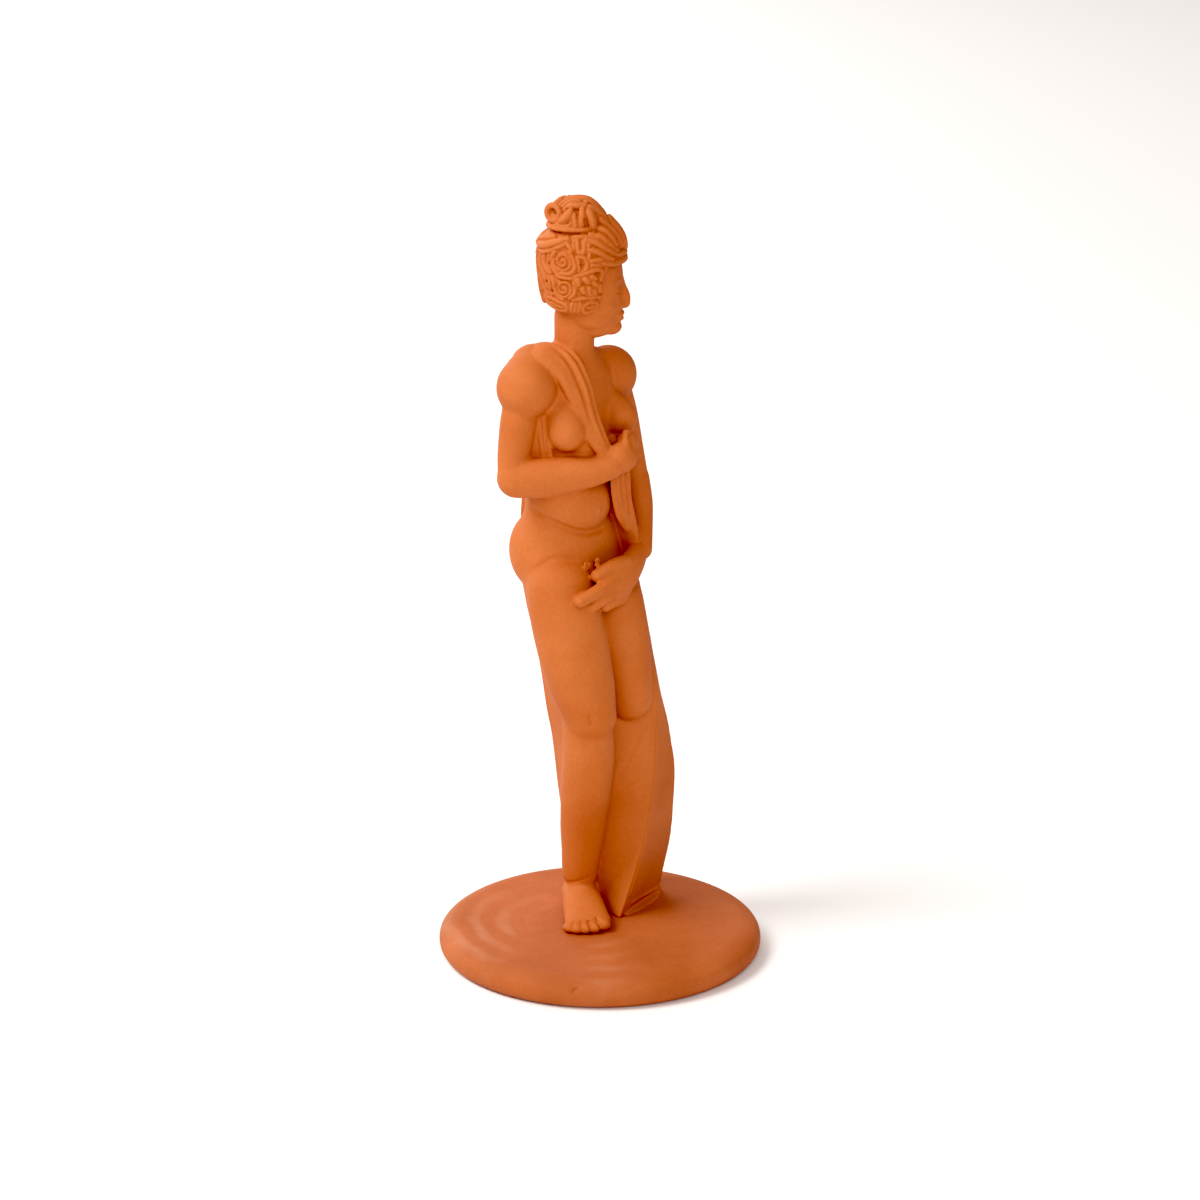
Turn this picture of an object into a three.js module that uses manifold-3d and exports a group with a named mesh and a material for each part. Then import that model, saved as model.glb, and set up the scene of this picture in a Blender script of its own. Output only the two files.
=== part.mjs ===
// Terracotta statuette: a standing woman with a cloth, luted onto a wheel-turned disc.
// Millimetres, +Z up. The origin is the centre of the disc's underside. Her chest faces -Y
// and her left side is +X.

import * as THREE from 'three';
import { mergeVertices } from 'three/addons/utils/BufferGeometryUtils.js';
import Module from 'manifold-3d';

const wasm = await Module();
wasm.setup();

// Driving dimensions of the disc
const DISC_RADIUS = 46;
const DISC_HEIGHT = 8;
const DISC_FLAT_RADIUS = 40;
const DISC_BELLY_HEIGHT = 3.4;
const DISC_FOOT_RADIUS = 42.6;
const DISC_SIDES = 48;
const LUTE_GAP = 0.3;

// Driving dimensions of the figure
const SOLE = DISC_HEIGHT + LUTE_GAP;
const HEAD_TURN = 48;
const HEAD_PLACE = [1.6, 12.4, 0];

// The joins' short edges are closed up to this length, in passes, without turning a face over
const SHORTEST_EDGE = 0.35;
const CLOSING_PASSES = 4;
const LEAST_AGREEMENT = 0.5;

const FRONT = new THREE.Vector3(0, -1, 0);
const UP = new THREE.Vector3(0, 0, 1);

// A station is [x, y, z, half width, half depth]: a point of a limb's middle line, and the
// size of the oval section there.

const TORSO = [
  [1.4, 13.2, 173.5, 7.5, 5.6],
  [1.2, 13.2, 168, 13.2, 7.4],
  [1.0, 13.0, 161, 14.6, 9.0],
  [0.9, 12.8, 152, 13.4, 9.4],
  [0.2, 12.8, 143, 11.0, 9.0],
  [-0.6, 12.8, 136.5, 11.4, 9.8],
  [-0.9, 12.4, 129.5, 12.7, 11.6],
];

const PELVIS = [
  [0.9, 14.0, 124.5, 13.4, 10.4],
  [1.1, 13.9, 119, 15.4, 11.4],
  [1.5, 13.6, 112, 16.2, 11.6],
  [1.6, 13.2, 105, 15.2, 10.8],
  [1.8, 12.6, 100, 14.2, 9.6],
];

// A ball or egg has its middle and its half sizes.
const BREASTS = [
  { at: [-7.4, 5.4, 154], size: [5.5, 5.6, 5.5] },
  { at: [10.6, 4.8, 154.4], size: [5.4, 5.6, 5.4] },
];
const BUTTOCKS = [
  { at: [-5.8, 17.8, 116.5], size: [9.2, 9.6, 12.0] },
  { at: [9.4, 18.0, 111], size: [9.0, 9.2, 10.6] },
];
const SHOULDERS = [
  { at: [-14.4, 14, 166], size: [8.5, 8.5, 8.6] },
  { at: [15.6, 14, 164.4], size: [8.1, 8.1, 8.2] },
];

const RIGHT_THIGH = [
  [-7.4, 8.2, 108, 9.6, 9.6],
  [-6.7, 6.2, 98, 10.1, 10.1],
  [-5.6, 4.2, 88, 9.9, 9.9],
  [-4.2, 2.4, 79, 9.1, 9.1],
  [-2.9, 1.2, 71, 7.6, 7.8],
];

const RIGHT_SHIN = [
  [-2.4, 2.6, 68, 7.2, 7.0],
  [-1.1, 3.6, 58, 7.4, 7.2],
  [-0.3, 5.6, 46.5, 7.2, 7.2],
  [0.6, 7.8, 35, 6.6, 6.6],
  [1.1, 9.2, 26, 5.7, 5.7],
  [1.5, 10.3, 18.5, 5.1, 5.2],
];

const LEFT_THIGH = [
  [11.0, 7.8, 100, 9.4, 9.4],
  [12.2, 6.6, 91, 9.2, 9.2],
  [13.6, 5.4, 81, 8.2, 8.2],
  [14.8, 4.4, 71.5, 6.9, 7.0],
];

const LEFT_SHIN = [
  [16.6, 8.0, 66, 5.0, 5.2],
  [17.0, 8.6, 54, 5.0, 5.2],
  [16.2, 9.8, 40, 4.8, 5.0],
  [15.0, 11.4, 26, 4.4, 4.6],
  [14.4, 12.4, 14, 4.4, 5.0],
];

const RIGHT_UPPER_ARM = [
  [-15.2, 14.2, 164, 5.3, 5.3],
  [-17.0, 14.6, 156, 5.2, 5.2],
  [-18.4, 14.8, 148, 4.7, 4.7],
  [-18.9, 14.4, 142, 4.6, 4.6],
];

const RIGHT_FOREARM = [
  [-18.8, 13.6, 141, 5.4, 5.6],
  [-14.2, 8.4, 141.4, 5.3, 5.7],
  [-8.6, 3.6, 142.2, 4.8, 5.1],
  [-3.0, -0.8, 143.1, 4.1, 4.2],
  [1.2, -3.4, 144.2, 3.5, 3.6],
];

const LEFT_UPPER_ARM = [
  [16.6, 14.0, 163, 5.0, 5.0],
  [19.6, 13.4, 153, 4.8, 4.8],
  [21.6, 12.6, 143, 4.5, 4.5],
  [22.6, 11.4, 134, 4.4, 4.4],
];

const LEFT_FOREARM = [
  [22.8, 10.8, 133, 4.3, 4.4],
  [21.9, 7.8, 127, 3.7, 3.9],
  [19.8, 4.2, 120.5, 3.0, 3.1],
  [17.4, 1.6, 115.5, 2.9, 3.0],
];

const NECK = [
  [1.4, 13.4, 169, 6.2, 6.2],
  [1.3, 13.0, 176, 5.6, 5.6],
  [1.4, 12.8, 184, 5.6, 5.8],
];

const YOKE = [
  [-13.4, 15.4, 169.6, 6.0, 6.2],
  [-5, 15.0, 170.6, 5.8, 6.2],
  [4, 14.8, 169.8, 5.4, 5.8],
  [12.0, 14.4, 167.6, 5.0, 5.4],
];

const FIST = { at: [4.6, -4.0, 145.0], size: [5.2, 3.6, 4.2] };

// Her right thumb and forefinger, which hold the cloth
const RIGHT_FINGERS = [
  { radius: 1.4, along: [[2.4, -4.4, 147.4], [2.6, -4.8, 150], [4.0, -4.4, 152.2]] },
  { radius: 1.5, along: [[8.2, -4.2, 146.8], [8.4, -4.6, 149.4], [7.0, -4.2, 151.2]] },
];

const LEFT_PALM = [
  [16.2, 2.0, 115.8, 2.9, 3.0],
  [11.6, -0.6, 113.4, 4.0, 2.8],
  [7.0, -2.2, 111.4, 4.9, 2.6],
  [3.0, -3.0, 110.0, 4.6, 2.2],
];

const HAND_BACK = { at: [5.4, -1.2, 108.4], size: [5.4, 2.8, 4.6] };

// Thumb first, then the four fingers
const LEFT_FINGERS = [
  { radius: 1.35, along: [[7.0, -2.2, 115.0], [2.6, -2.2, 114.2], [-3.0, -1.2, 111.8]] },
  { radius: 1.1, along: [[3.0, -3.2, 112.4], [-4.6, -3.8, 109.6], [-10.8, -3.4, 107.4]] },
  { radius: 1.0, along: [[2.4, -3.4, 109.4], [-2.4, -3.4, 107.0], [-4.6, -2.8, 105.6]] },
  { radius: 1.0, along: [[3.6, -3.2, 107.6], [0.4, -2.8, 105.4], [-0.9, -2.2, 104.2]] },
  { radius: 1.0, along: [[6.2, -2.8, 106.6], [4.6, -2.4, 104.8], [3.4, -1.8, 103.6]] },
];

const RIGHT_FOOT = [
  [3.0, 13.2, 12.0, 4.6, 4.4],
  [1.2, 10.0, 13.0, 5.2, 5.0],
  [-1.6, 5.6, 12.2, 5.8, 4.4],
  [-4.6, 1.0, 11.0, 6.4, 3.2],
  [-7.0, -2.8, 10.2, 6.7, 2.3],
];

// From the big toe to the little toe
const TOES = [
  { at: [-4.4, -5.6, 9.9], size: [2.3, 3.0, 1.9] },
  { at: [-7.6, -5.6, 9.6], size: [1.5, 2.4, 1.5] },
  { at: [-9.8, -4.2, 9.5], size: [1.5, 2.3, 1.4] },
  { at: [-11.6, -2.6, 9.4], size: [1.5, 2.1, 1.3] },
  { at: [-12.8, -0.6, 9.3], size: [1.4, 1.9, 1.2] },
];

// The cloth from the disc up her back to her right shoulder: height, then the ridge, outer,
// back left, back right, flank, valley and inner corners in plan. Low down it is the prop.
const DRAPE = [
  [SOLE, [4.7, -2.9], [28.2, 5.6], [26.0, 17.0], [8.5, 21.0], [5.0, 17.5], [5.6, 12.0], [6.0, 4.5]],
  [14, [7.2, -3.3], [29.0, 4.8], [26.5, 17.4], [6.5, 20.5], [2.0, 15.5], [5.0, 12.0], [6.4, 5.4]],
  [24.5, [11.3, -3.7], [30.6, 3.4], [27.5, 17.8], [4.0, 19.5], [-1.2, 13.6], [4.6, 11.6], [6.8, 6.4]],
  [36, [14.9, -3.4], [31.3, 2.8], [28.2, 18.0], [1.4, 18.0], [-3.6, 12.2], [4.4, 9.6], [7.6, 5.0]],
  [47, [17.7, -2.6], [31.5, 2.6], [28.6, 18.2], [-1.8, 16.2], [-5.0, 10.6], [4.2, 7.8], [8.2, 3.4]],
  [54, [19.3, -1.7], [31.1, 3.6], [28.3, 18.5], [-2.4, 16.6], [-5.6, 9.6], [4.0, 8.2], [12.4, 0.8]],
  [61, [21.2, 0.0], [30.5, 4.7], [27.8, 19.2], [-2.5, 17.8], [-6.0, 8.8], [3.6, 7.8], [17.1, 0.7]],
  [69, [23.7, 2.0], [29.4, 6.5], [27.0, 20.0], [-3.4, 19.0], [-6.8, 8.0], [2.8, 6.6], [21.0, 2.4]],
  [78, [25.2, 5.4], [28.5, 8.0], [26.4, 21.0], [-3.9, 20.3], [-9.4, 8.6], [3.2, 7.0], [21.6, 6.0]],
  [88, [25.3, 8.4], [27.7, 9.8], [25.8, 22.4], [-4.7, 22.0], [-11.0, 11.2], [3.4, 9.4], [19.0, 9.4]],
  [100, [24.0, 10.6], [26.6, 12.0], [25.0, 24.0], [-6.2, 24.4], [-12.4, 13.6], [3.0, 13.0], [17.0, 12.0]],
  [112, [21.4, 13.2], [24.8, 14.4], [23.4, 25.2], [-6.2, 27.2], [-10.5, 18.0], [0.0, 17.0], [14.0, 14.4]],
  [124, [18.4, 15.4], [22.4, 16.8], [21.0, 24.4], [-6.8, 25.8], [-9.0, 18.4], [-2.0, 17.0], [10.0, 16.0]],
  [136, [14.4, 15.8], [18.6, 17.2], [17.4, 22.8], [-8.2, 23.6], [-9.0, 17.4], [-4.0, 16.0], [6.0, 16.0]],
  [150, [9.4, 15.8], [13.0, 17.0], [12.0, 22.8], [-11.4, 23.0], [-11.0, 18.0], [-7.0, 16.0], [2.0, 16.0]],
  [163, [2.4, 15.4], [5.2, 16.8], [4.0, 22.4], [-14.0, 22.0], [-12.4, 18.0], [-9.0, 16.0], [-3.0, 16.0]],
  [171, [-3.6, 13.6], [-1.6, 15.0], [-2.6, 19.6], [-12.4, 18.2], [-11.2, 15.4], [-9.0, 13.6], [-6.0, 13.4]],
];

// How many strips each side of the drape's plan gets, from the ridge on, and its back folds
const DRAPE_STRIPS = [3, 2, 8, 2, 2, 2, 1];
const FOLDED_SIDE = 2;
const FOLD_DEPTH = 1.1;

const CHEST_CLOTH = [
  [-9.0, 18.0, 172.6, 4.6, 2.0],
  [-7.8, 12.0, 173.8, 4.6, 2.0],
  [-5.4, 7.4, 170.0, 4.2, 2.2],
  [-3.6, 4.4, 163.0, 3.8, 2.2],
  [-1.6, 1.8, 155.0, 3.2, 2.0],
  [0.6, -1.4, 147.6, 2.2, 1.8],
];

// Folds along the chest cloth
const CHEST_FOLDS = [
  [[-4.6, 12.4, 174.6], [-3.0, 6.6, 172.0], [-1.8, 3.2, 165.0], [-0.4, 1.0, 156.0], [1.2, -2.0, 148.6]],
  [[-8.6, 12.4, 175.4], [-6.6, 6.6, 171.6], [-4.6, 3.0, 164.0], [-2.4, 0.2, 155.0], [0.2, -2.4, 148.4]],
];

const CLOTH_TAIL = [
  [5.0, -2.6, 143.0, 3.4, 1.6],
  [6.0, -2.0, 136.0, 3.0, 1.7],
  [8.0, -1.0, 129.0, 2.2, 1.7],
  [10.4, 0.2, 122.6, 1.3, 1.4],
];

// The cloth between her left side, the tail and the left forearm
const SIDE_CLOTH = [
  [7.6, 5.6, 147, 1.8, 5.6],
  [9.0, 6.0, 136, 2.2, 7.0],
  [12.0, 7.0, 126, 2.6, 7.4],
  [16.0, 8.5, 116, 3.2, 7.0],
];

// The head in its own frame: the face looks along -Y, and heights are the figure's own.
// The hair's stations run from the crown down to the nape.
const HAIR = [
  [0, -2.0, 205.4, 9.2, 11.6],
  [0, -2.2, 200.0, 10.4, 12.0],
  [0, -1.6, 194.0, 10.6, 11.4],
  [0, -0.2, 188.4, 9.6, 9.2],
];

// The box cut out of the hair for the face
const OPENING = { at: [0, -13.6, 186], size: [30, 12, 28] };

const FACE = [
  [0, -3.8, 202.0, 7.6, 8.8],
  [0, -4.4, 195.6, 8.0, 9.1],
  [0, -4.8, 189.4, 7.6, 8.7],
  [0, -5.4, 184.8, 6.6, 7.9],
  [0, -6.2, 181.4, 5.0, 6.5],
];
const NOSE = [
  [0, -12.2, 195.0, 1.1, 1.5],
  [0, -12.9, 191.0, 1.4, 2.0],
  [0, -13.6, 187.4, 1.8, 2.3],
];
const MOUTH = { at: [0, -10.7, 184.0], size: [3.2, 2.4, 1.5] };
const CHIN = { at: [0, -9.2, 181.2], size: [3.4, 3.5, 2.6] };
const EYES = [
  { at: [-3.4, -11.6, 193], size: [2.3, 1.6, 1.4] },
  { at: [3.4, -11.6, 193], size: [2.3, 1.6, 1.4] },
];
const BUN = { at: [0, -0.4, 211], size: [7.2, 7.6, 5.6] };
const BUN_LOOPS = 7;
const LOOP_RADIUS = 2.1;
const LOOP_LINE = [[6.4, 208.6], [6.8, 212.6], [4.8, 216.2], [2.0, 215.6]];
const ROPE = { at: [0, -0.4, 207.4], reach: 7.0, radius: 1.3 };
const ROLL_RADIUS = 1.6;
const LOCK_RADIUS = 1.1;
const ROSETTE_RADIUS = 2.7;
const ROSETTE_BEAD = 0.8;
const ROSETTE_TURNS = 1.6;
const ROSETTE_STEPS = 12;
const DEGREES_PER_MM = 5.2;

// Turn from the face and height of each curl on the side of the head
const ROSETTES = [[112, 201.6], [112, 193.6]];

// Rolls that sweep back from the forehead on both sides: turn from the face and height
const FRONT_ROLLS = [
  [[2, 206.2], [28, 205.6], [56, 207.0], [84, 208.0]],
  [[2, 202.2], [26, 201.6], [50, 203.6], [76, 205.6]],
];

// Locks of the right side of the head
const NEAR_LOCKS = [
  [[60, 199.6], [74, 202.4], [88, 204.4]],
  [[56, 196.8], [72, 199.2], [86, 198.2], [94, 201.4]],
  [[58, 193.8], [66, 191.2], [78, 194.6], [90, 195.6]],
  [[60, 188.6], [76, 191.0], [88, 188.6], [98, 191.0]],
  [[60, 186.4], [84, 187.2], [112, 187.0], [140, 188.0]],
  [[146, 205.0], [134, 203.0], [134, 199.0], [142, 195.0]],
  [[164, 205.6], [158, 200.0], [164, 194.4], [158, 189.4]],
];

// The plainer locks of the left side, and the strand down the back of the head
const FAR_LOCKS = [
  [[58, 197.8], [76, 200.0], [96, 198.4], [118, 201.4]],
  [[60, 192.4], [80, 194.6], [104, 192.2], [128, 194.6]],
  [[60, 186.4], [84, 187.2], [112, 187.0], [140, 188.0]],
  [[156, 205.4], [150, 200.0], [156, 194.4], [150, 189.4]],
  [[184, 205.8], [178, 200.0], [184, 194.4], [178, 188.8]],
];

function solidOf(geometry) {
  const bare = geometry.index ? geometry : geometry.clone();
  bare.deleteAttribute('normal');
  bare.deleteAttribute('uv');
  const merged = mergeVertices(bare, 1e-4);
  return new wasm.Manifold(new wasm.Mesh({
    numProp: 3,
    vertProperties: new Float32Array(merged.attributes.position.array),
    triVerts: new Uint32Array(merged.index.array),
  }));
}

function geometryOf(solid) {
  const mesh = solid.getMesh();
  const geometry = new THREE.BufferGeometry();
  geometry.setAttribute('position', new THREE.BufferAttribute(new Float32Array(mesh.vertProperties), 3));
  geometry.setIndex(new THREE.BufferAttribute(new Uint32Array(mesh.triVerts), 1));
  geometry.computeVertexNormals();
  return geometry;
}

// Closes up the short edges that joins leave behind, wherever the surface stays whole
function closeShortEdges(geometry, shortest) {
  const place = geometry.attributes.position;
  const corners = Array.from({ length: place.count }, (unused, i) => (
    new THREE.Vector3().fromBufferAttribute(place, i)
  ));
  const faces = Array.from({ length: geometry.index.count / 3 }, (unused, i) => (
    [0, 1, 2].map((k) => geometry.index.getX(3 * i + k))
  ));
  const facesAt = corners.map(() => new Set());
  faces.forEach((face, f) => face.forEach((corner) => facesAt[corner].add(f)));
  const normalOf = (face, moved, spot) => {
    const [a, b, c] = face.map((corner) => (moved.includes(corner) ? spot : corners[corner]));
    return new THREE.Triangle(a, b, c).getNormal(new THREE.Vector3());
  };
  const around = (corner) => new Set([...facesAt[corner]].flatMap((f) => faces[f]));
  const close = (a, b) => {
    const nearB = around(b);
    const shared = [...around(a)].filter((corner) => nearB.has(corner));
    const spot = corners[a].clone().lerp(corners[b], 0.5);
    const both = [...facesAt[a]].filter((f) => facesAt[b].has(f));
    const others = [...facesAt[a], ...facesAt[b]].filter((f) => !both.includes(f));
    const turnsOver = (f) => {
      const before = normalOf(faces[f], [], spot);
      return before.dot(normalOf(faces[f], [a, b], spot)) < LEAST_AGREEMENT;
    };
    if (shared.length !== 4 || both.length !== 2 || others.some(turnsOver)) {
      return;
    }
    corners[a] = spot;
    both.forEach((f) => faces[f].forEach((corner) => facesAt[corner].delete(f)));
    both.forEach((f) => { faces[f] = null; });
    facesAt[b].forEach((f) => {
      faces[f] = faces[f].map((corner) => (corner === b ? a : corner));
      facesAt[a].add(f);
    });
    facesAt[b].clear();
  };
  for (let pass = 1; pass <= CLOSING_PASSES; pass += 1) {
    const limit = shortest * (pass / CLOSING_PASSES);
    faces.forEach((unused, f) => [[0, 1], [1, 2], [2, 0]].forEach(([i, j]) => {
      const face = faces[f];
      if (face && corners[face[i]].distanceTo(corners[face[j]]) < limit) {
        close(face[i], face[j]);
      }
    }));
  }
  const kept = new THREE.BufferGeometry();
  kept.setAttribute('position', new THREE.BufferAttribute(
    new Float32Array(faces.filter(Boolean).flat().flatMap((corner) => corners[corner].toArray())),
    3,
  ));
  const whole = mergeVertices(kept, 1e-6);
  whole.computeVertexNormals();
  return whole;
}

function fuse(geometries) {
  return geometries.map(solidOf).reduce((whole, piece) => whole.add(piece));
}

// Moves every corner of a geometry with the rule that is given
function reshape(geometry, rule) {
  const place = geometry.attributes.position;
  const corner = new THREE.Vector3();
  for (let i = 0; i < place.count; i += 1) {
    corner.fromBufferAttribute(place, i);
    rule(corner);
    place.setXYZ(i, corner.x, corner.y, corner.z);
  }
  return geometry;
}

// A round-ended tube of oval section along a smooth line through the stations
function limb(stations, { sides = 10, rings = 6, caps = 2, ahead = FRONT, ends = [1, 1] } = {}) {
  const line = new THREE.CatmullRomCurve3(stations.map(([x, y, z]) => new THREE.Vector3(x, y, z)));
  const size = new THREE.CatmullRomCurve3(stations.map(([, , , w, d]) => new THREE.Vector3(w, d, 0)));
  const side = new THREE.Vector3();
  const fore = new THREE.Vector3();
  return reshape(new THREE.CapsuleGeometry(1, 1, caps, sides, rings), (corner) => {
    const along = THREE.MathUtils.clamp(corner.y + 0.5, 0, 1);
    const beyond = corner.y + 0.5 - along;
    const tangent = line.getTangent(along);
    const oval = size.getPoint(along);
    side.crossVectors(tangent, ahead).normalize();
    fore.crossVectors(side, tangent);
    const reach = beyond * (oval.x + oval.y) / 2 * (along < 0.5 ? ends[0] : ends[1]);
    const { x, z } = corner;
    corner.copy(line.getPoint(along)).addScaledVector(tangent, reach);
    corner.addScaledVector(side, x * oval.x).addScaledVector(fore, z * oval.y);
  });
}

// A ball or egg with half sizes along X, Y and Z
function egg({ at: [x, y, z], size: [a, b, c] }, detail = 2) {
  return reshape(new THREE.IcosahedronGeometry(1, detail), (corner) => {
    corner.set(x + corner.x * a, y + corner.y * b, z + corner.z * c);
  });
}

// A round bead of clay with round ends, laid along a smooth line
function bead(points, radius, rings = 5, sides = 5) {
  return limb(points.map(([x, y, z]) => [x, y, z, radius, radius]), { sides, rings, caps: 1, ahead: UP });
}

function torso() {
  return [
    limb(TORSO, { sides: 16, rings: 10, caps: 3, ends: [0.5, 0.5] }),
    limb(PELVIS, { sides: 16, rings: 5, ends: [0.4, 0.5] }),
    limb(YOKE, { sides: 8, rings: 3, caps: 1 }),
    limb(NECK, { rings: 2, caps: 1 }),
    ...[...BREASTS, ...BUTTOCKS].map((form) => egg(form)),
  ];
}

function arms() {
  return [
    ...SHOULDERS.map((form) => egg(form)),
    limb(RIGHT_UPPER_ARM, { rings: 3 }),
    limb(RIGHT_FOREARM, { rings: 4, ahead: UP }),
    limb(LEFT_UPPER_ARM, { rings: 3 }),
    limb(LEFT_FOREARM, { rings: 4 }),
  ];
}

function rightHand() {
  return [egg(FIST), ...RIGHT_FINGERS.map(({ along, radius }) => bead(along, radius, 3))];
}

function leftHand() {
  return [
    limb(LEFT_PALM, { sides: 8, rings: 3 }),
    egg(HAND_BACK, 1),
    ...LEFT_FINGERS.map(({ along, radius }) => bead(along, radius, 3)),
  ];
}

function legs() {
  return [
    limb(RIGHT_THIGH, { sides: 14, rings: 5, caps: 3 }),
    limb(RIGHT_SHIN, { sides: 12, rings: 5, ends: [1, 0.5] }),
    limb(LEFT_THIGH, { sides: 12, rings: 4 }),
    limb(LEFT_SHIN, { sides: 8, rings: 3, caps: 1 }),
  ];
}

function rightFoot() {
  const foot = limb(RIGHT_FOOT, { sides: 12, rings: 5, ahead: UP, ends: [0.8, 0.5] });
  const toes = TOES.map((toe) => egg(toe, 1));
  return [foot, ...toes].map((form) => reshape(form, (corner) => {
    corner.z = Math.max(corner.z, SOLE);
  }));
}

// Cloth that hangs in level sections. Each row is [height, ...corners in plan], listed
// counterclockwise from above.
function hangingCloth(rows) {
  const tracks = rows[0].slice(1).map((unused, i) => new THREE.CatmullRomCurve3(
    rows.map((row) => new THREE.Vector3(row[i + 1][0], row[i + 1][1], row[0])),
  ));
  const strips = DRAPE_STRIPS.flatMap((count, side) => (
    Array.from({ length: count }, (unused, step) => ({ side, share: step / count, inset: step % 2 }))
  ));
  const outline = (height, { side, share, inset }) => {
    const from = tracks[side].getPoint(height);
    const to = tracks[(side + 1) % tracks.length].getPoint(height);
    const inward = new THREE.Vector3(from.y - to.y, to.x - from.x, 0).normalize();
    const depth = side === FOLDED_SIDE ? inset * FOLD_DEPTH : 0;
    return from.lerp(to, share).addScaledVector(inward, depth);
  };
  return reshape(new THREE.CylinderGeometry(1, 1, 1, strips.length, rows.length - 1), (corner) => {
    const height = corner.y + 0.5;
    if (Math.hypot(corner.x, corner.z) < 0.5) {
      corner.set(0, 0, 0);
      tracks.forEach((track) => corner.addScaledVector(track.getPoint(height), 1 / tracks.length));
      return;
    }
    const turn = Math.atan2(corner.x, corner.z) / (2 * Math.PI);
    corner.copy(outline(height, strips[Math.round((turn + 1) * strips.length) % strips.length]));
  });
}

function cloth() {
  return [
    hangingCloth(DRAPE),
    limb(SIDE_CLOTH, { sides: 8, rings: 3, caps: 1 }),
    limb(CHEST_CLOTH, { sides: 8, rings: 5, caps: 1 }),
    ...CHEST_FOLDS.map((fold) => bead(fold, 0.8, 5, 4)),
    limb(CLOTH_TAIL, { sides: 6, rings: 3, caps: 1 }),
  ];
}

// A point on the hair: turn is the angle from the face towards her left, in degrees
function onHair(turn, height) {
  let i = 1;
  while (i < HAIR.length - 1 && height < HAIR[i][2]) {
    i += 1;
  }
  const share = (HAIR[i - 1][2] - height) / (HAIR[i - 1][2] - HAIR[i][2]);
  const [x, y, , a, b] = HAIR[i - 1].map((value, n) => THREE.MathUtils.lerp(value, HAIR[i][n], share));
  const angle = THREE.MathUtils.degToRad(turn);
  return [x + Math.sin(angle) * a, y - Math.cos(angle) * b, height];
}

function lock(places, radius, rings = 5) {
  return bead(places.map(([turn, height]) => onHair(turn, height)), radius, rings, 4);
}

function rosette(turn, height) {
  const points = [];
  for (let i = 0; i <= ROSETTE_STEPS; i += 1) {
    const share = i / ROSETTE_STEPS;
    const angle = share * ROSETTE_TURNS * 2 * Math.PI;
    const reach = ROSETTE_RADIUS * (0.3 + 0.7 * share);
    points.push([turn + Math.cos(angle) * reach * DEGREES_PER_MM, height + Math.sin(angle) * reach]);
  }
  return lock(points, ROSETTE_BEAD, ROSETTE_STEPS);
}

function bun() {
  const [x, y] = BUN.at;
  const loops = [];
  for (let i = 0; i < BUN_LOOPS; i += 1) {
    const angle = (i / BUN_LOOPS) * 2 * Math.PI;
    const line = LOOP_LINE.map(([reach, height]) => (
      [x + Math.sin(angle) * reach, y - Math.cos(angle) * reach, height]
    ));
    loops.push(bead(line, LOOP_RADIUS, 3));
  }
  const rope = new THREE.TorusGeometry(ROPE.reach, ROPE.radius, 5, 14);
  rope.translate(...ROPE.at);
  return [egg(BUN), rope, ...loops];
}

function hair() {
  const onRight = (places) => places.map(([turn, height]) => [-turn, height]);
  const rolls = [...FRONT_ROLLS, ...FRONT_ROLLS.map(onRight)].map((places) => lock(places, ROLL_RADIUS));
  const locks = [...FAR_LOCKS, ...NEAR_LOCKS.map(onRight)].map((places) => lock(places, LOCK_RADIUS, 4));
  const rosettes = onRight(ROSETTES).map(([turn, height]) => rosette(turn, height));
  const cap = solidOf(limb(HAIR, { sides: 14, rings: 5, ends: [0.5, 0.4] }));
  const opening = new THREE.BoxGeometry(...OPENING.size);
  opening.translate(...OPENING.at);
  return [cap.subtract(solidOf(opening)), fuse([...rolls, ...locks, ...rosettes, ...bun()])];
}

function face() {
  return [
    limb(FACE, { sides: 14, rings: 6, ends: [0.4, 0.6] }),
    limb(NOSE, { sides: 6, rings: 2, caps: 1 }),
    ...[MOUTH, CHIN, ...EYES].map((form) => egg(form, 1)),
  ];
}

function head() {
  const turned = new THREE.Matrix4().makeRotationZ(THREE.MathUtils.degToRad(HEAD_TURN));
  turned.setPosition(...HEAD_PLACE);
  const whole = hair().reduce((sum, piece) => sum.add(piece), fuse(face()));
  return geometryOf(whole).applyMatrix4(turned);
}

function makeFigure() {
  return closeShortEdges(geometryOf(fuse([
    ...torso(),
    ...arms(),
    ...rightHand(),
    ...leftHand(),
    ...legs(),
    ...rightFoot(),
    ...cloth(),
    head(),
  ])), SHORTEST_EDGE);
}

function makeDisc() {
  const outline = new THREE.Path();
  outline.moveTo(0, 0);
  outline.lineTo(DISC_FOOT_RADIUS, 0);
  outline.quadraticCurveTo(DISC_RADIUS, 0.4, DISC_RADIUS, DISC_BELLY_HEIGHT);
  outline.quadraticCurveTo(DISC_RADIUS, DISC_HEIGHT - 0.6, DISC_FLAT_RADIUS, DISC_HEIGHT);
  outline.lineTo(0, DISC_HEIGHT);
  const points = outline.getPoints(4);
  const disc = new THREE.LatheGeometry(points, DISC_SIDES);
  disc.rotateX(Math.PI / 2);
  return disc;
}

const terracotta = new THREE.MeshStandardMaterial({ color: 0xc8703a, roughness: 0.85, metalness: 0 });
const discTerracotta = new THREE.MeshStandardMaterial({ color: 0xb8603a, roughness: 0.85, metalness: 0 });

const figure = new THREE.Mesh(makeFigure(), terracotta);
figure.name = 'figure';

const disc = new THREE.Mesh(makeDisc(), discTerracotta);
disc.name = 'base_disc';

const group = new THREE.Group();
group.add(disc, figure);

export default group;
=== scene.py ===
"""Terracotta statuette: a standing woman with a cloth, luted onto a wheel-turned disc.

Lengths are in millimetres until a piece is finished, and are then brought to metres. The origin is
the centre of the disc's underside, her chest faces -Y and her left side is +X.
"""

import logging
import math
from dataclasses import dataclass, field
from enum import Enum

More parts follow.
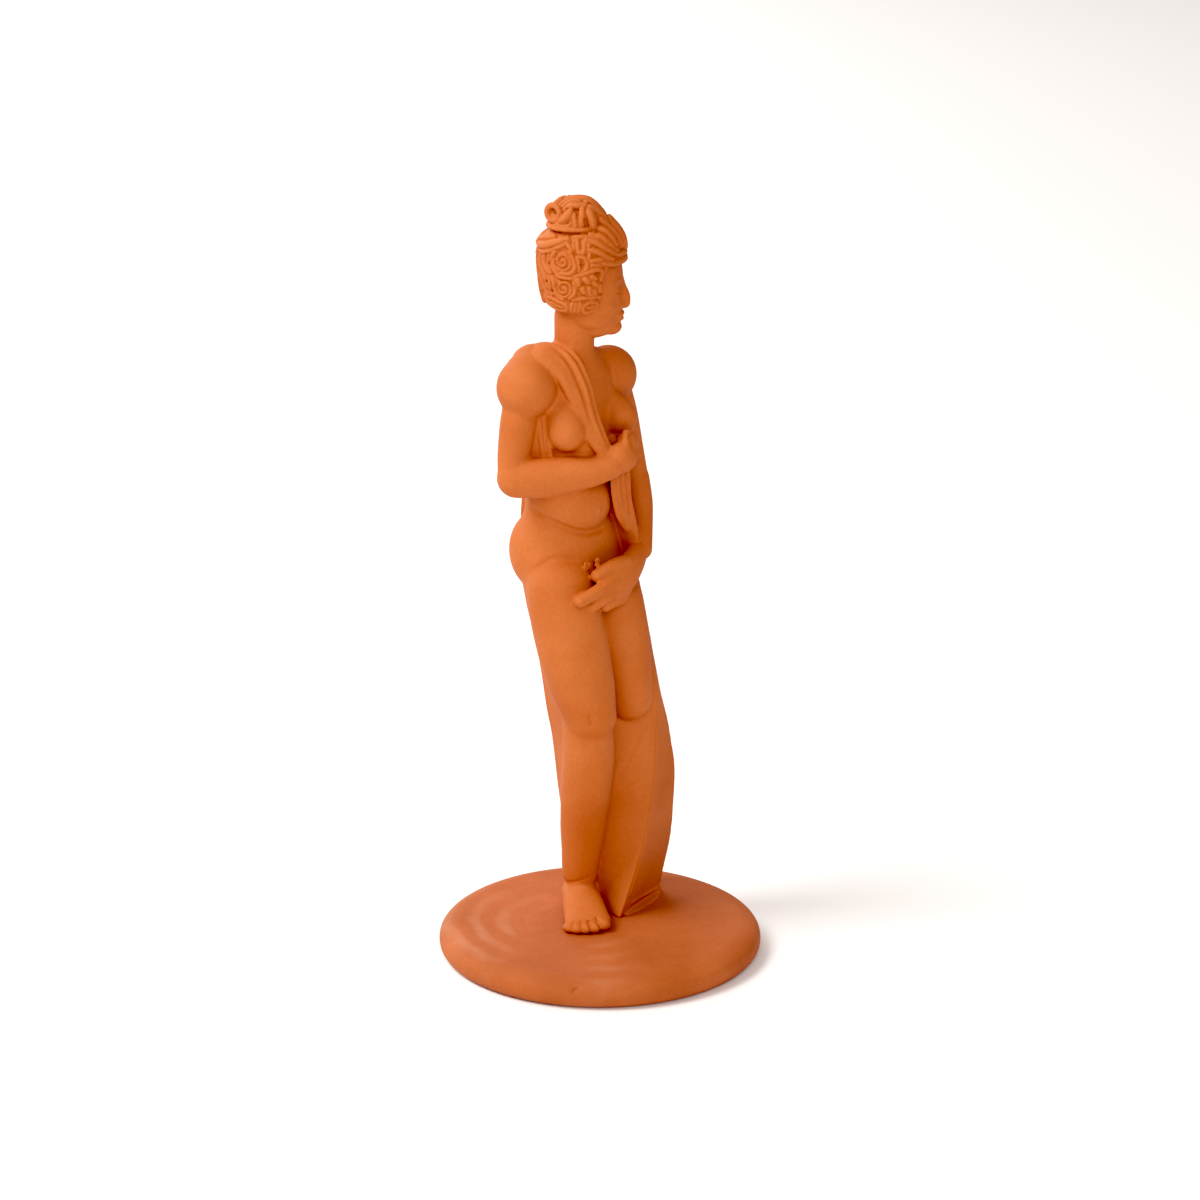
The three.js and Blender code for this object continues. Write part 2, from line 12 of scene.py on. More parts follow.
import bmesh
import bpy
import numpy as np
from mathutils import Matrix, Vector, noise
from mathutils.bvhtree import BVHTree


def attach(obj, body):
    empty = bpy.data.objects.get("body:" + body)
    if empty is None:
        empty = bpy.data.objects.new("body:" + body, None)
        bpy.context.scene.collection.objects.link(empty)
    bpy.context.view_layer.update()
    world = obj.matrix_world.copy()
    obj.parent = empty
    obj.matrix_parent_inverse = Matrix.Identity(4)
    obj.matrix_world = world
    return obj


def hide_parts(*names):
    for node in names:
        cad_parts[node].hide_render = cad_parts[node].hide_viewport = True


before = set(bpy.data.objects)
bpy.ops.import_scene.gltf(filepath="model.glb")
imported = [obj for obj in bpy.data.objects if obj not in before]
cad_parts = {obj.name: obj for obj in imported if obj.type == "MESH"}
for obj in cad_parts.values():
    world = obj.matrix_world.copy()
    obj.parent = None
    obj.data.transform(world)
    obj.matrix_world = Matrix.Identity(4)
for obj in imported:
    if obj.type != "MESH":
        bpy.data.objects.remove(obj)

logging.basicConfig(level=logging.INFO, format="%(message)s")
LOG = logging.getLogger("statuette")

MILLIMETRE = 0.001
DISC_HEIGHT = 8.0
TINY = 1e-4
FRONT = Vector((0.0, -1.0, 0.0))
UP = Vector((0.0, 0.0, 1.0))

Point = tuple[float, float, float]
Station = tuple[float, float, float, float, float]
Place = tuple[float, float]
Line = tuple[Point, ...]
Beads = tuple[tuple[float, Line], ...]
Eggs = tuple[tuple[Point, Point], ...]
Colour = tuple[float, float, float, float]
Socket = bpy.types.NodeSocket
Value = float | Point | Colour | Socket


class Side(Enum):
    """Which side of her head a lock lies on."""

    RIGHT = -1
    LEFT = 1


class Detail(Enum):
    """How finely the clay is worked: a voxel's edge, and the triangles that the skin is thinned to."""

    FINE = (0.25, 195_000)
    QUICK = (0.35, 120_000)


def span(points: Line) -> float:
    """Adds up the lengths between points."""
    return sum(math.dist(a, b) for a, b in zip(points, points[1:]))


class SmoothLine:
    """A smooth line through points of any number of coordinates, with even corners."""

    def __init__(self, points: list[tuple[float, ...]]) -> None:
        """Keeps the points that the line runs through."""
        self.points = [np.array(point, dtype=float) for point in points]

    def at(self, share: float) -> np.ndarray:
        """Finds a point of the line.

        Args:
            share: How far along, from 0 to 1.

        Returns:
            The coordinates there.
        """
        last = len(self.points) - 1
        place = min(max(share, 0.0), 1.0) * last
        index = min(int(place), last - 1)
        step = place - index
        begin, end = self.points[index], self.points[index + 1]
        before = self.points[index - 1] if index > 0 else 2 * begin - end
        after = self.points[index + 2] if index + 2 <= last else 2 * end - begin
        gaps = [math.sqrt(math.dist(a, b)) for a, b in ((before, begin), (begin, end), (end, after))]
        middle = gaps[1] if gaps[1] > TINY else 1.0
        first, final = (gap if gap > TINY else middle for gap in (gaps[0], gaps[2]))
        leave = (begin - before) / first - (end - before) / (first + middle) + (end - begin) / middle
        arrive = (end - begin) / middle - (after - begin) / (middle + final) + (after - end) / final
        leave, arrive = leave * middle, arrive * middle
        square = -3 * begin + 3 * end - 2 * leave - arrive
        cube = 2 * begin - 2 * end + leave + arrive
        return begin + leave * step + square * step**2 + cube * step**3

    def heading(self, share: float) -> Vector:
        """Finds the line's direction at a share of its way, one unit long."""
        ahead, behind = min(share + TINY, 1.0), max(share - TINY, 0.0)
        return Vector((self.at(ahead) - self.at(behind))[:3]).normalized()


def meshed(name: str, form: bmesh.types.BMesh) -> bpy.types.Mesh:
    """Turns a form into a mesh, and frees the form.

    Args:
        name: The mesh's name.
        form: The form.

    Returns:
        The mesh.
    """
    mesh = bpy.data.meshes.new(name)
    form.to_mesh(mesh)
    form.free()
    return mesh


def placed(name: str, data: bpy.types.ID) -> bpy.types.Object:
    """Makes an object and links it into the scene.

    Args:
        name: The object's name.
        data: Its mesh, light or camera.

    Returns:
        The object.
    """
    piece = bpy.data.objects.new(name, data)
    bpy.context.collection.objects.link(piece)
    return piece


def finished(piece: bpy.types.Object) -> bpy.types.Mesh:
    """Works out a new mesh from a piece, with its modifiers applied."""
    return bpy.data.meshes.new_from_object(piece.evaluated_get(bpy.context.evaluated_depsgraph_get()))


@dataclass
class Clay:
    """Forms of soft clay that are pressed together, and then fused into one skin."""

    forms: list[bpy.types.Mesh] = field(default_factory=list)
    caps: int = 6
    egg_detail: int = 4
    bead_sides: int = 14
    bead_step: float = 0.45
    bead_ahead: Vector = field(default_factory=lambda: Vector((0.31, 0.17, 0.93)))
    fewest_rings: int = 6
    softness: float = 0.5

    def take(self, other: "Clay") -> None:
        """Takes over the forms of another lump."""
        self.forms += other.forms

    def limb(
        self,
        stations: tuple[Station, ...],
        ahead: Vector = FRONT,
        ends: tuple[float, float] = (1.0, 1.0),
        sides: int = 36,
        rings: int = 30,
    ) -> None:
        """Adds a round-ended tube of oval section along a smooth line.

        Args:
            stations: Points of the middle line, each with its half width and half depth.
            ahead: The direction that the depth is measured in.
            ends: How far each end bulges, as a share of its radius.
            sides: Facets around.
            rings: Sections along.
        """
        caps = self.caps
        line = SmoothLine([station[:3] for station in stations])
        size = SmoothLine([station[3:] for station in stations])
        rows = rings + 2 * caps
        sections = []
        for row in range(rows + 1):
            along = min(max((row - caps) / rings, 0.0), 1.0)
            short = max(caps - row, row - caps - rings, 0) / caps * math.pi / 2
            beyond = math.sin(short) * (-1.0 if row < caps else 1.0)
            half_width, half_depth = size.at(along)
            tangent = line.heading(along)
            side = tangent.cross(ahead).normalized()
            fore = side.cross(tangent)
            bulge = beyond * (half_width + half_depth) / 2 * (ends[0] if row < caps else ends[1])
            middle = Vector(line.at(along)) + tangent * bulge
            sections.append(
                (middle, side * half_width * math.cos(short), fore * half_depth * math.cos(short))
            )
        form = bmesh.new()
        bmesh.ops.create_uvsphere(form, u_segments=sides, v_segments=rows, radius=1.0)
        for vert in form.verts:
            row = round(math.acos(min(max(vert.co.z, -1.0), 1.0)) / math.pi * rows)
            flat = Vector((vert.co.x, vert.co.y))
            around = flat.normalized() if flat.length > TINY else flat
            middle, side, fore = sections[row]
            vert.co = middle + side * around.x + fore * around.y
        self.keep(form)

    def egg(self, at: Point, size: Point, lean: tuple[float, str] = (0.0, "X")) -> None:
        """Adds a ball or an egg.

        Args:
            at: Its middle.
            size: Its half sizes along X, Y and Z.
            lean: A turn about its middle, in degrees, and the axis of the turn.
        """
        form = bmesh.new()
        turn = Matrix.Rotation(math.radians(lean[0]), 4, lean[1])
        place = Matrix.Translation(at) @ turn @ Matrix.Diagonal((*size, 1.0))
        bmesh.ops.create_icosphere(form, subdivisions=self.egg_detail, radius=1.0, matrix=place)
        self.keep(form)

    def bead(self, points: Line, radius: float) -> None:
        """Adds a round bead of clay with round ends.

        Args:
            points: The points that its middle line runs through.
            radius: Its radius.
        """
        stations = tuple((*point, radius, radius) for point in points)
        steps = max(self.fewest_rings, round(span(points) / self.bead_step))
        self.limb(stations, ahead=self.bead_ahead, sides=self.bead_sides, rings=steps)

    def keep(self, form: bmesh.types.BMesh) -> None:
        """Keeps a finished form, with its faces outwards."""
        bmesh.ops.recalc_face_normals(form, faces=form.faces)
        self.forms.append(meshed("form", form))

    def move(self, matrix: Matrix) -> None:
        """Moves all the clay."""
        for form in self.forms:
            form.transform(matrix)

    def clamp(self, floor: float) -> None:
        """Flattens what would sink below a level floor.

        Args:
            floor: The floor's height.
        """
        for form in self.forms:
            for vert in form.vertices:
                vert.co.z = max(vert.co.z, floor)

    def fuse(self, voxel: float, softening: int) -> "Clay":
        """Makes one skin of all the forms and softens the joints between them.

        Args:
            voxel: The edge of a voxel.
            softening: The number of times that the skin is smoothed.

        Returns:
            The same lump, with one form.
        """
        whole = bmesh.new()
        for form in self.forms:
            whole.from_mesh(form)
            bpy.data.meshes.remove(form)
        lump = placed("lump", meshed("lump", whole))
        rough = lump.data
        remesh = lump.modifiers.new("fuse", "REMESH")
        remesh.mode = "VOXEL"
        remesh.voxel_size = voxel
        soften = lump.modifiers.new("soften", "SMOOTH")
        soften.factor = self.softness
        soften.iterations = softening
        self.forms = [finished(lump)]
        bpy.data.objects.remove(lump)
        bpy.data.meshes.remove(rough)
        return self


def mirrored(line: Line) -> Line:
    """Gives a line on the other side of the middle."""
    return tuple((-x, y, z) for x, y, z in line)


@dataclass(frozen=True)
class Mark:
    """A line pressed into the clay."""

    points: Line
    width: float
    depth: float


@dataclass(frozen=True)
class Shading:
    """The nodes of one material."""

    tree: bpy.types.NodeTree

    def add(self, kind: str, inputs: dict[str | int, Value], **settings: str) -> bpy.types.Node:
        """Adds a node, and sets or links its inputs.

        Args:
            kind: The node's kind, without the words that all kinds share.
            inputs: For each input its value, or the socket to link to it.
            settings: The node's own settings.

        Returns:
            The node.
        """
        node = self.tree.nodes.new("ShaderNode" + kind)
        for name, setting in settings.items():
            setattr(node, name, setting)
        for name, value in inputs.items():
            if isinstance(value, Socket):
                self.tree.links.new(value, node.inputs[name])
            else:
                node.inputs[name].default_value = value
        return node

    def noise(self, place: Socket, scale: float, detail: float) -> Socket:
        """Adds a noise, with its scale in waves a metre."""
        return self.add("TexNoise", {"Vector": place, "Scale": scale, "Detail": detail}).outputs["Fac"]

    def spread(self, value: Socket, source: Place, target: Place = (0.0, 1.0)) -> Socket:
        """Maps one range of values onto another."""
        ends = {"From Min": source[0], "From Max": source[1], "To Min": target[0], "To Max": target[1]}
        return self.add("MapRange", {"Value": value, **ends}).outputs["Result"]

    def mix(self, share: Value, first: Value, second: Value, blend: str = "MIX") -> Socket:
        """Mixes the second colour into the first."""
        inputs = {"Factor": share, "A": first, "B": second}
        return self.add("Mix", inputs, data_type="RGBA", blend_type=blend).outputs["Result"]

    def times(self, first: Socket, second: Socket) -> Socket:
        """Multiplies two values."""
        return self.add("Math", {0: first, 1: second}, operation="MULTIPLY").outputs["Value"]


@dataclass(frozen=True)
class Chalk:
    """The pale arcs that a wet wipe left on one side of the disc. Lengths are in metres."""

    colour: Colour = (0.68, 0.38, 0.24, 1.0)
    strength: float = 0.3
    shift: Point = (0.004, -0.006, 0.0)
    ring_scale: float = 38.0
    ring_waver: float = 3.4
    ring_detail: float = 3.0
    ring_detail_scale: float = 1.4
    ring_edge: float = 0.35
    side: Place = (0.004, -0.03)
    patch_scale: float = 30.0
    patch_detail: float = 3.0
    patch_edges: Place = (0.42, 0.68)

    def over(self, shading: Shading, place: Socket, clay: Socket) -> Socket:
        """Lays the chalk over the clay.

        Args:
            shading: The material's nodes.
            place: The place on the piece.
            clay: The clay's colour.

        Returns:
            The colour with the chalk on it.
        """
        middle = shading.add("Mapping", {"Vector": place, "Location": self.shift}).outputs["Vector"]
        waves = {
            "Vector": middle, "Scale": self.ring_scale, "Distortion": self.ring_waver,
            "Detail": self.ring_detail, "Detail Scale": self.ring_detail_scale,
        }
        rings = shading.add("TexWave", waves, wave_type="RINGS", rings_direction="Z", wave_profile="SIN")
        thin = shading.spread(rings.outputs["Fac"], (self.ring_edge, 1.0), (0.0, self.strength))
        across = shading.add("SeparateXYZ", {"Vector": place}).outputs["X"]
        patches = shading.noise(place, self.patch_scale, self.patch_detail)
        near = shading.spread(patches, self.patch_edges)
        faint = shading.times(shading.times(near, thin), shading.spread(across, self.side))
        return shading.mix(faint, clay, self.colour)


@dataclass(frozen=True)
class Terracotta:
    """Fired, unglazed clay, with its colour drifting and a fine grain. Scales are in waves a metre."""

    name: str
    light: Colour
    deep: Colour
    chalk: Chalk | None = None
    roughness: float = 0.78
    gloss: float = 0.5
    drift_scale: float = 38.0
    drift_detail: float = 4.0
    drift_edges: Place = (0.32, 0.68)
    speckle_scale: float = 950.0
    speckle_detail: float = 2.0
    speckle_tones: Place = (0.7, 1.25)
    speckle_share: float = 0.35
    grain: float = 0.12
    grain_scale: float = 1400.0
    grain_detail: float = 3.0
    grain_height: float = 0.0002

    def material(self) -> bpy.types.Material:
        """Builds the finish as shader nodes.

        Returns:
            The material.
        """
        made = bpy.data.materials.new(self.name)
        made.use_nodes = True
        shading = Shading(made.node_tree)
        shader = made.node_tree.nodes["Principled BSDF"]
        shader.inputs["Roughness"].default_value = self.roughness
        shader.inputs["Specular IOR Level"].default_value = self.gloss
        place = shading.add("TexCoord", {}).outputs["Object"]
        drift = shading.spread(shading.noise(place, self.drift_scale, self.drift_detail), self.drift_edges)
        clay = shading.mix(drift, self.deep, self.light)
        speckle = shading.noise(place, self.speckle_scale, self.speckle_detail)
        tones = shading.spread(speckle, (0.0, 1.0), self.speckle_tones)
        clay = shading.mix(self.speckle_share, clay, tones, "MULTIPLY")
        if self.chalk:
            clay = self.chalk.over(shading, place, clay)
        grain = shading.noise(place, self.grain_scale, self.grain_detail)
        bump = {"Strength": self.grain, "Distance": self.grain_height, "Height": grain}
        made.node_tree.links.new(clay, shader.inputs["Base Color"])
        made.node_tree.links.new(shading.add("Bump", bump).outputs["Normal"], shader.inputs["Normal"])
        return made

    def dress(self, piece: bpy.types.Object) -> None:
        """Brings a piece from millimetres to metres, and gives it this finish.

        Args:
            piece: The object.
        """
        piece.data.transform(Matrix.Scale(MILLIMETRE, 4))
        piece.data.shade_smooth()
        piece.data.materials.append(self.material())


@dataclass
class Trunk:
    """Torso, hips, breasts and neck, softly joined."""

    softening: int = 12
    torso: tuple[Station, ...] = (
        (1.4, 13.2, 173.5, 7.5, 5.6),
        (1.2, 13.2, 168, 13.2, 7.8),
        (1, 13, 161, 14.6, 9.4),
        (0.9, 12.8, 152, 13.4, 9.8),
        (0.2, 12.8, 143, 11.4, 9.4),
        (-0.6, 12.8, 136.5, 11.6, 10),
        (-0.9, 12.4, 129.5, 12.6, 11.4),
    )
    pelvis: tuple[Station, ...] = (
        (-1.6, 14.2, 126, 13, 10.4),
        (0.4, 13.9, 120, 15.4, 11.4),
        (1.5, 13.6, 112, 16.2, 11.6),
        (1.6, 13.2, 105, 15.2, 10.8),
        (1.8, 12.6, 100, 14.2, 9.6),
    )
    yoke: tuple[Station, ...] = (
        (-13.4, 15.4, 169.6, 6, 6.2),
        (-5, 15, 170.6, 5.8, 6.2),
        (4, 14.8, 169.8, 5.4, 5.8),
        (12, 14.4, 167.6, 5, 5.4),
    )
    neck: tuple[Station, ...] = (
        (1.8, 13.1, 169, 6.1, 6.2),
        (1.8, 12.6, 176, 5.5, 5.6),
        (1.8, 12.5, 184, 5.6, 5.8),
    )
    breasts: tuple[tuple[Station, ...], ...] = (
        ((-6.4, 9, 161, 4.6, 3.8), (-7, 6.8, 157.4, 5.3, 5), (-7.4, 5.3, 154, 5.6, 5.7)),
        ((9.8, 9.4, 160.6, 3.6, 3.2), (10.6, 6.4, 157.4, 4.6, 4.4), (11.1, 4.1, 154.7, 5, 5)),
    )
    rounds: Eggs = (
        ((-5.8, 17.8, 116.5), (9.2, 9.6, 12)),
        ((9.4, 18, 111), (9, 9.2, 10.6)),
        ((-5.4, 14, 124), (8.6, 9.4, 8.6)),
        ((-1.6, 3.8, 149.4), (4.4, 3.4, 4.6)),
    )
    belly: tuple[Point, Point, tuple[float, str]] = ((-0.8, 12.0, 133.2), (12.6, 12.1, 12.4), (-14.0, "Y"))

    def model(self, grain: float) -> Clay:
        """Models the trunk.

        Args:
            grain: The edge of a voxel.

        Returns:
            The clay.
        """
        clay = Clay()
        clay.limb(self.torso, ends=(0.5, 0.5), sides=64, rings=60)
        clay.limb(self.pelvis, ends=(0.4, 0.5), sides=64, rings=30)
        clay.limb(self.yoke)
        clay.limb(self.neck)
        for line in self.breasts:
            clay.limb(line, ends=(0.5, 1.0))
        for at, size in self.rounds:
            clay.egg(at, size)
        clay.egg(*self.belly)
        return clay.fuse(grain, self.softening)


@dataclass
class Limbs:
    """Shoulders, arms, legs and the right foot."""

    softening: int = 6
    shoulders: Eggs = (
        ((-14.4, 14, 166), (8.5, 8.5, 8.6)),
        ((15.6, 14, 164.4), (8.1, 8.1, 8.2)),
    )
    right_upper_arm: tuple[Station, ...] = (
        (-15.2, 14.2, 164, 5.3, 5.3),
        (-17, 14.6, 156, 5.2, 5.2),
        (-18.4, 14.8, 148, 4.7, 4.7),
        (-18.9, 14.4, 142, 4.6, 4.6),
    )
    right_forearm: tuple[Station, ...] = (
        (-18.8, 13.6, 141, 5.4, 5.6),
        (-14.2, 8.4, 141.4, 5.3, 5.7),
        (-8.6, 3.6, 142.2, 4.8, 5.1),
        (-3, -0.8, 143.1, 4.1, 4.2),
        (1.2, -3.4, 144.4, 3.5, 3.7),
    )
    left_upper_arm: tuple[Station, ...] = (
        (16.6, 14, 163, 5, 5),
        (19.6, 13.4, 153, 4.8, 4.8),
        (21.6, 12.6, 143, 4.5, 4.5),
        (22.6, 11.4, 134, 4.4, 4.4),
    )
    left_forearm: tuple[Station, ...] = (
        (22.8, 10.8, 133, 4.3, 4.4),
        (21.9, 7.8, 127, 3.8, 4),
        (19.7, 4.2, 120.5, 3, 3.1),
        (17.2, 1.6, 115.5, 3, 3.1),
    )
    right_thigh: tuple[Station, ...] = (
        (-7.4, 8.2, 108, 9.6, 9.6),
        (-6.7, 6.2, 98, 10.1, 10.1),
        (-5.6, 4.2, 88, 9.9, 9.9),
        (-4.2, 2.4, 79, 9.1, 9.1),
        (-2.9, 1.2, 71, 7.6, 7.8),
    )
    right_shin: tuple[Station, ...] = (
        (-2.4, 2.6, 68, 7.2, 7),
        (-1.1, 3.6, 58, 7.4, 7.2),
        (-0.3, 5.6, 46.5, 7.2, 7.2),
        (0.6, 7.8, 35, 6.6, 6.6),
        (1.1, 9.2, 26, 5.7, 5.7),
        (1.5, 10.3, 18.5, 5.1, 5.2),
    )
    left_thigh: tuple[Station, ...] = (
        (11, 7.8, 100, 9.4, 9.4),
        (12.2, 6.6, 91, 9.2, 9.2),
        (13.6, 5.4, 81, 8.2, 8.2),
        (14.8, 4.4, 71.5, 6.9, 7),
    )
    left_shin: tuple[Station, ...] = (
        (16.6, 8, 66, 5, 5.2),
        (17, 8.6, 54, 5, 5.2),
        (16.2, 9.8, 40, 4.8, 5),
        (15, 11.4, 26, 4.4, 4.6),
        (14.4, 12.4, 14, 4.4, 5),
    )
    right_foot: tuple[Station, ...] = (
        (3, 13.2, 12, 4.6, 4.4),
        (1.2, 10, 13, 5.2, 5),
        (-1.6, 5.6, 12.2, 5.8, 4.4),
        (-4.6, 1, 11, 6.4, 3.2),
        (-7, -2.8, 10.2, 6.7, 2.3),
    )

    def model(self, trunk: Clay, grain: float) -> Clay:
        """Joins the limbs to the trunk.

        Args:
            trunk: The clay of the trunk.
            grain: The edge of a voxel.

        Returns:
            The clay of both.
        """
        for at, size in self.shoulders:
            trunk.egg(at, size)
        for line in (self.right_upper_arm, self.left_upper_arm, self.left_forearm):
            trunk.limb(line)
        for line in (self.right_thigh, self.left_thigh, self.left_shin):
            trunk.limb(line)
        trunk.limb(self.right_forearm, ahead=UP)
        trunk.limb(self.right_shin, ends=(1.0, 0.5))
        trunk.limb(self.right_foot, ahead=UP, ends=(0.8, 0.5))
        return trunk.fuse(grain, self.softening)


@dataclass
class Hands:
    """The right fist at the chest, the left hand before the hips, the toes and the curls."""

    fist: Eggs = (
        ((4.6, -3.9, 146.2), (4.8, 3.7, 4.5)),
        ((7.9, -2.5, 149.2), (3.4, 3, 3.4)),
    )
    left_palm: tuple[Station, ...] = (
        (16.2, 2, 115.8, 3, 3.1),
        (11.6, -0.6, 113.2, 4.3, 3),
        (7, -2.2, 110.8, 5.1, 2.8),
        (3.6, -3, 109.4, 4.6, 2.3),
    )
    fingers: Beads = (
        (1.3, ((4, -4.9, 147.6), (4.8, -4.9, 149.4), (5.9, -4.2, 151), (7, -3.2, 152.4))),
        (1.3, ((6.4, -4.8, 148.2), (8, -4.4, 149.6), (9.6, -3, 150.6))),
        (2, ((8, -1.9, 114.8), (2.8, -2.2, 114.6), (-2.2, -1.4, 112.6))),
        (1.9, ((4.6, -3, 111.4), (-1, -3.8, 110.2), (-5.8, -3.7, 108.7), (-10, -3, 107.3))),
        (1.8, ((3.6, -3.4, 108.6), (-1, -3.5, 106.5), (-4.8, -2.4, 104.8))),
        (1.7, ((5.9, -2.6, 106.4), (2.6, -2.9, 104.6), (-0.1, -2.3, 103.4))),
        (1.6, ((8.6, -1.6, 106.4), (6.4, -2, 104.2), (4.6, -1.5, 103.4))),
    )
    toes: Eggs = (
        ((-4.4, -5.6, 9.9), (2.3, 3, 1.9)),
        ((-7.6, -5.6, 9.6), (1.5, 2.4, 1.5)),
        ((-9.8, -4.2, 9.5), (1.5, 2.3, 1.4)),
        ((-11.6, -2.6, 9.4), (1.5, 2.1, 1.3)),
        ((-12.8, -0.6, 9.3), (1.4, 1.9, 1.2)),
    )
    curls: tuple[tuple[float, float, Point], ...] = (
        (1.4, 150, (-2.9, 1.6, 115.3)),
        (1.3, 250, (-0.9, 0.4, 116.3)),
    )
    curl_bead: float = 0.5
    curl_steps: int = 12
    curl_step: float = 24.0
    curl_fade: int = 16

    def model(self, clay: Clay) -> None:
        """Adds the hands, the toes and the curls.

        Args:
            clay: The clay that takes them.
        """
        for at, size in (*self.fist, *self.toes):
            clay.egg(at, size)
        clay.limb(self.left_palm)
        for radius, line in self.fingers:
            clay.bead(line, radius)
        for reach, start, middle in self.curls:
            clay.bead(self._curl(reach, start, middle), self.curl_bead)

    def _curl(self, reach: float, start: float, middle: Point) -> Line:
        """Lays out one curl as a short spiral that faces front.

        Args:
            reach: Its outer radius.
            start: The turn at which it starts, in degrees.
            middle: Its middle.

        Returns:
            The points of its line.
        """
        points = []
        for step in range(self.curl_steps + 1):
            angle = math.radians(start + self.curl_step * step)
            out = reach * (1.0 - step / self.curl_fade)
            points.append((middle[0] + math.cos(angle) * out, middle[1], middle[2] + math.sin(angle) * out))
        return tuple(points)


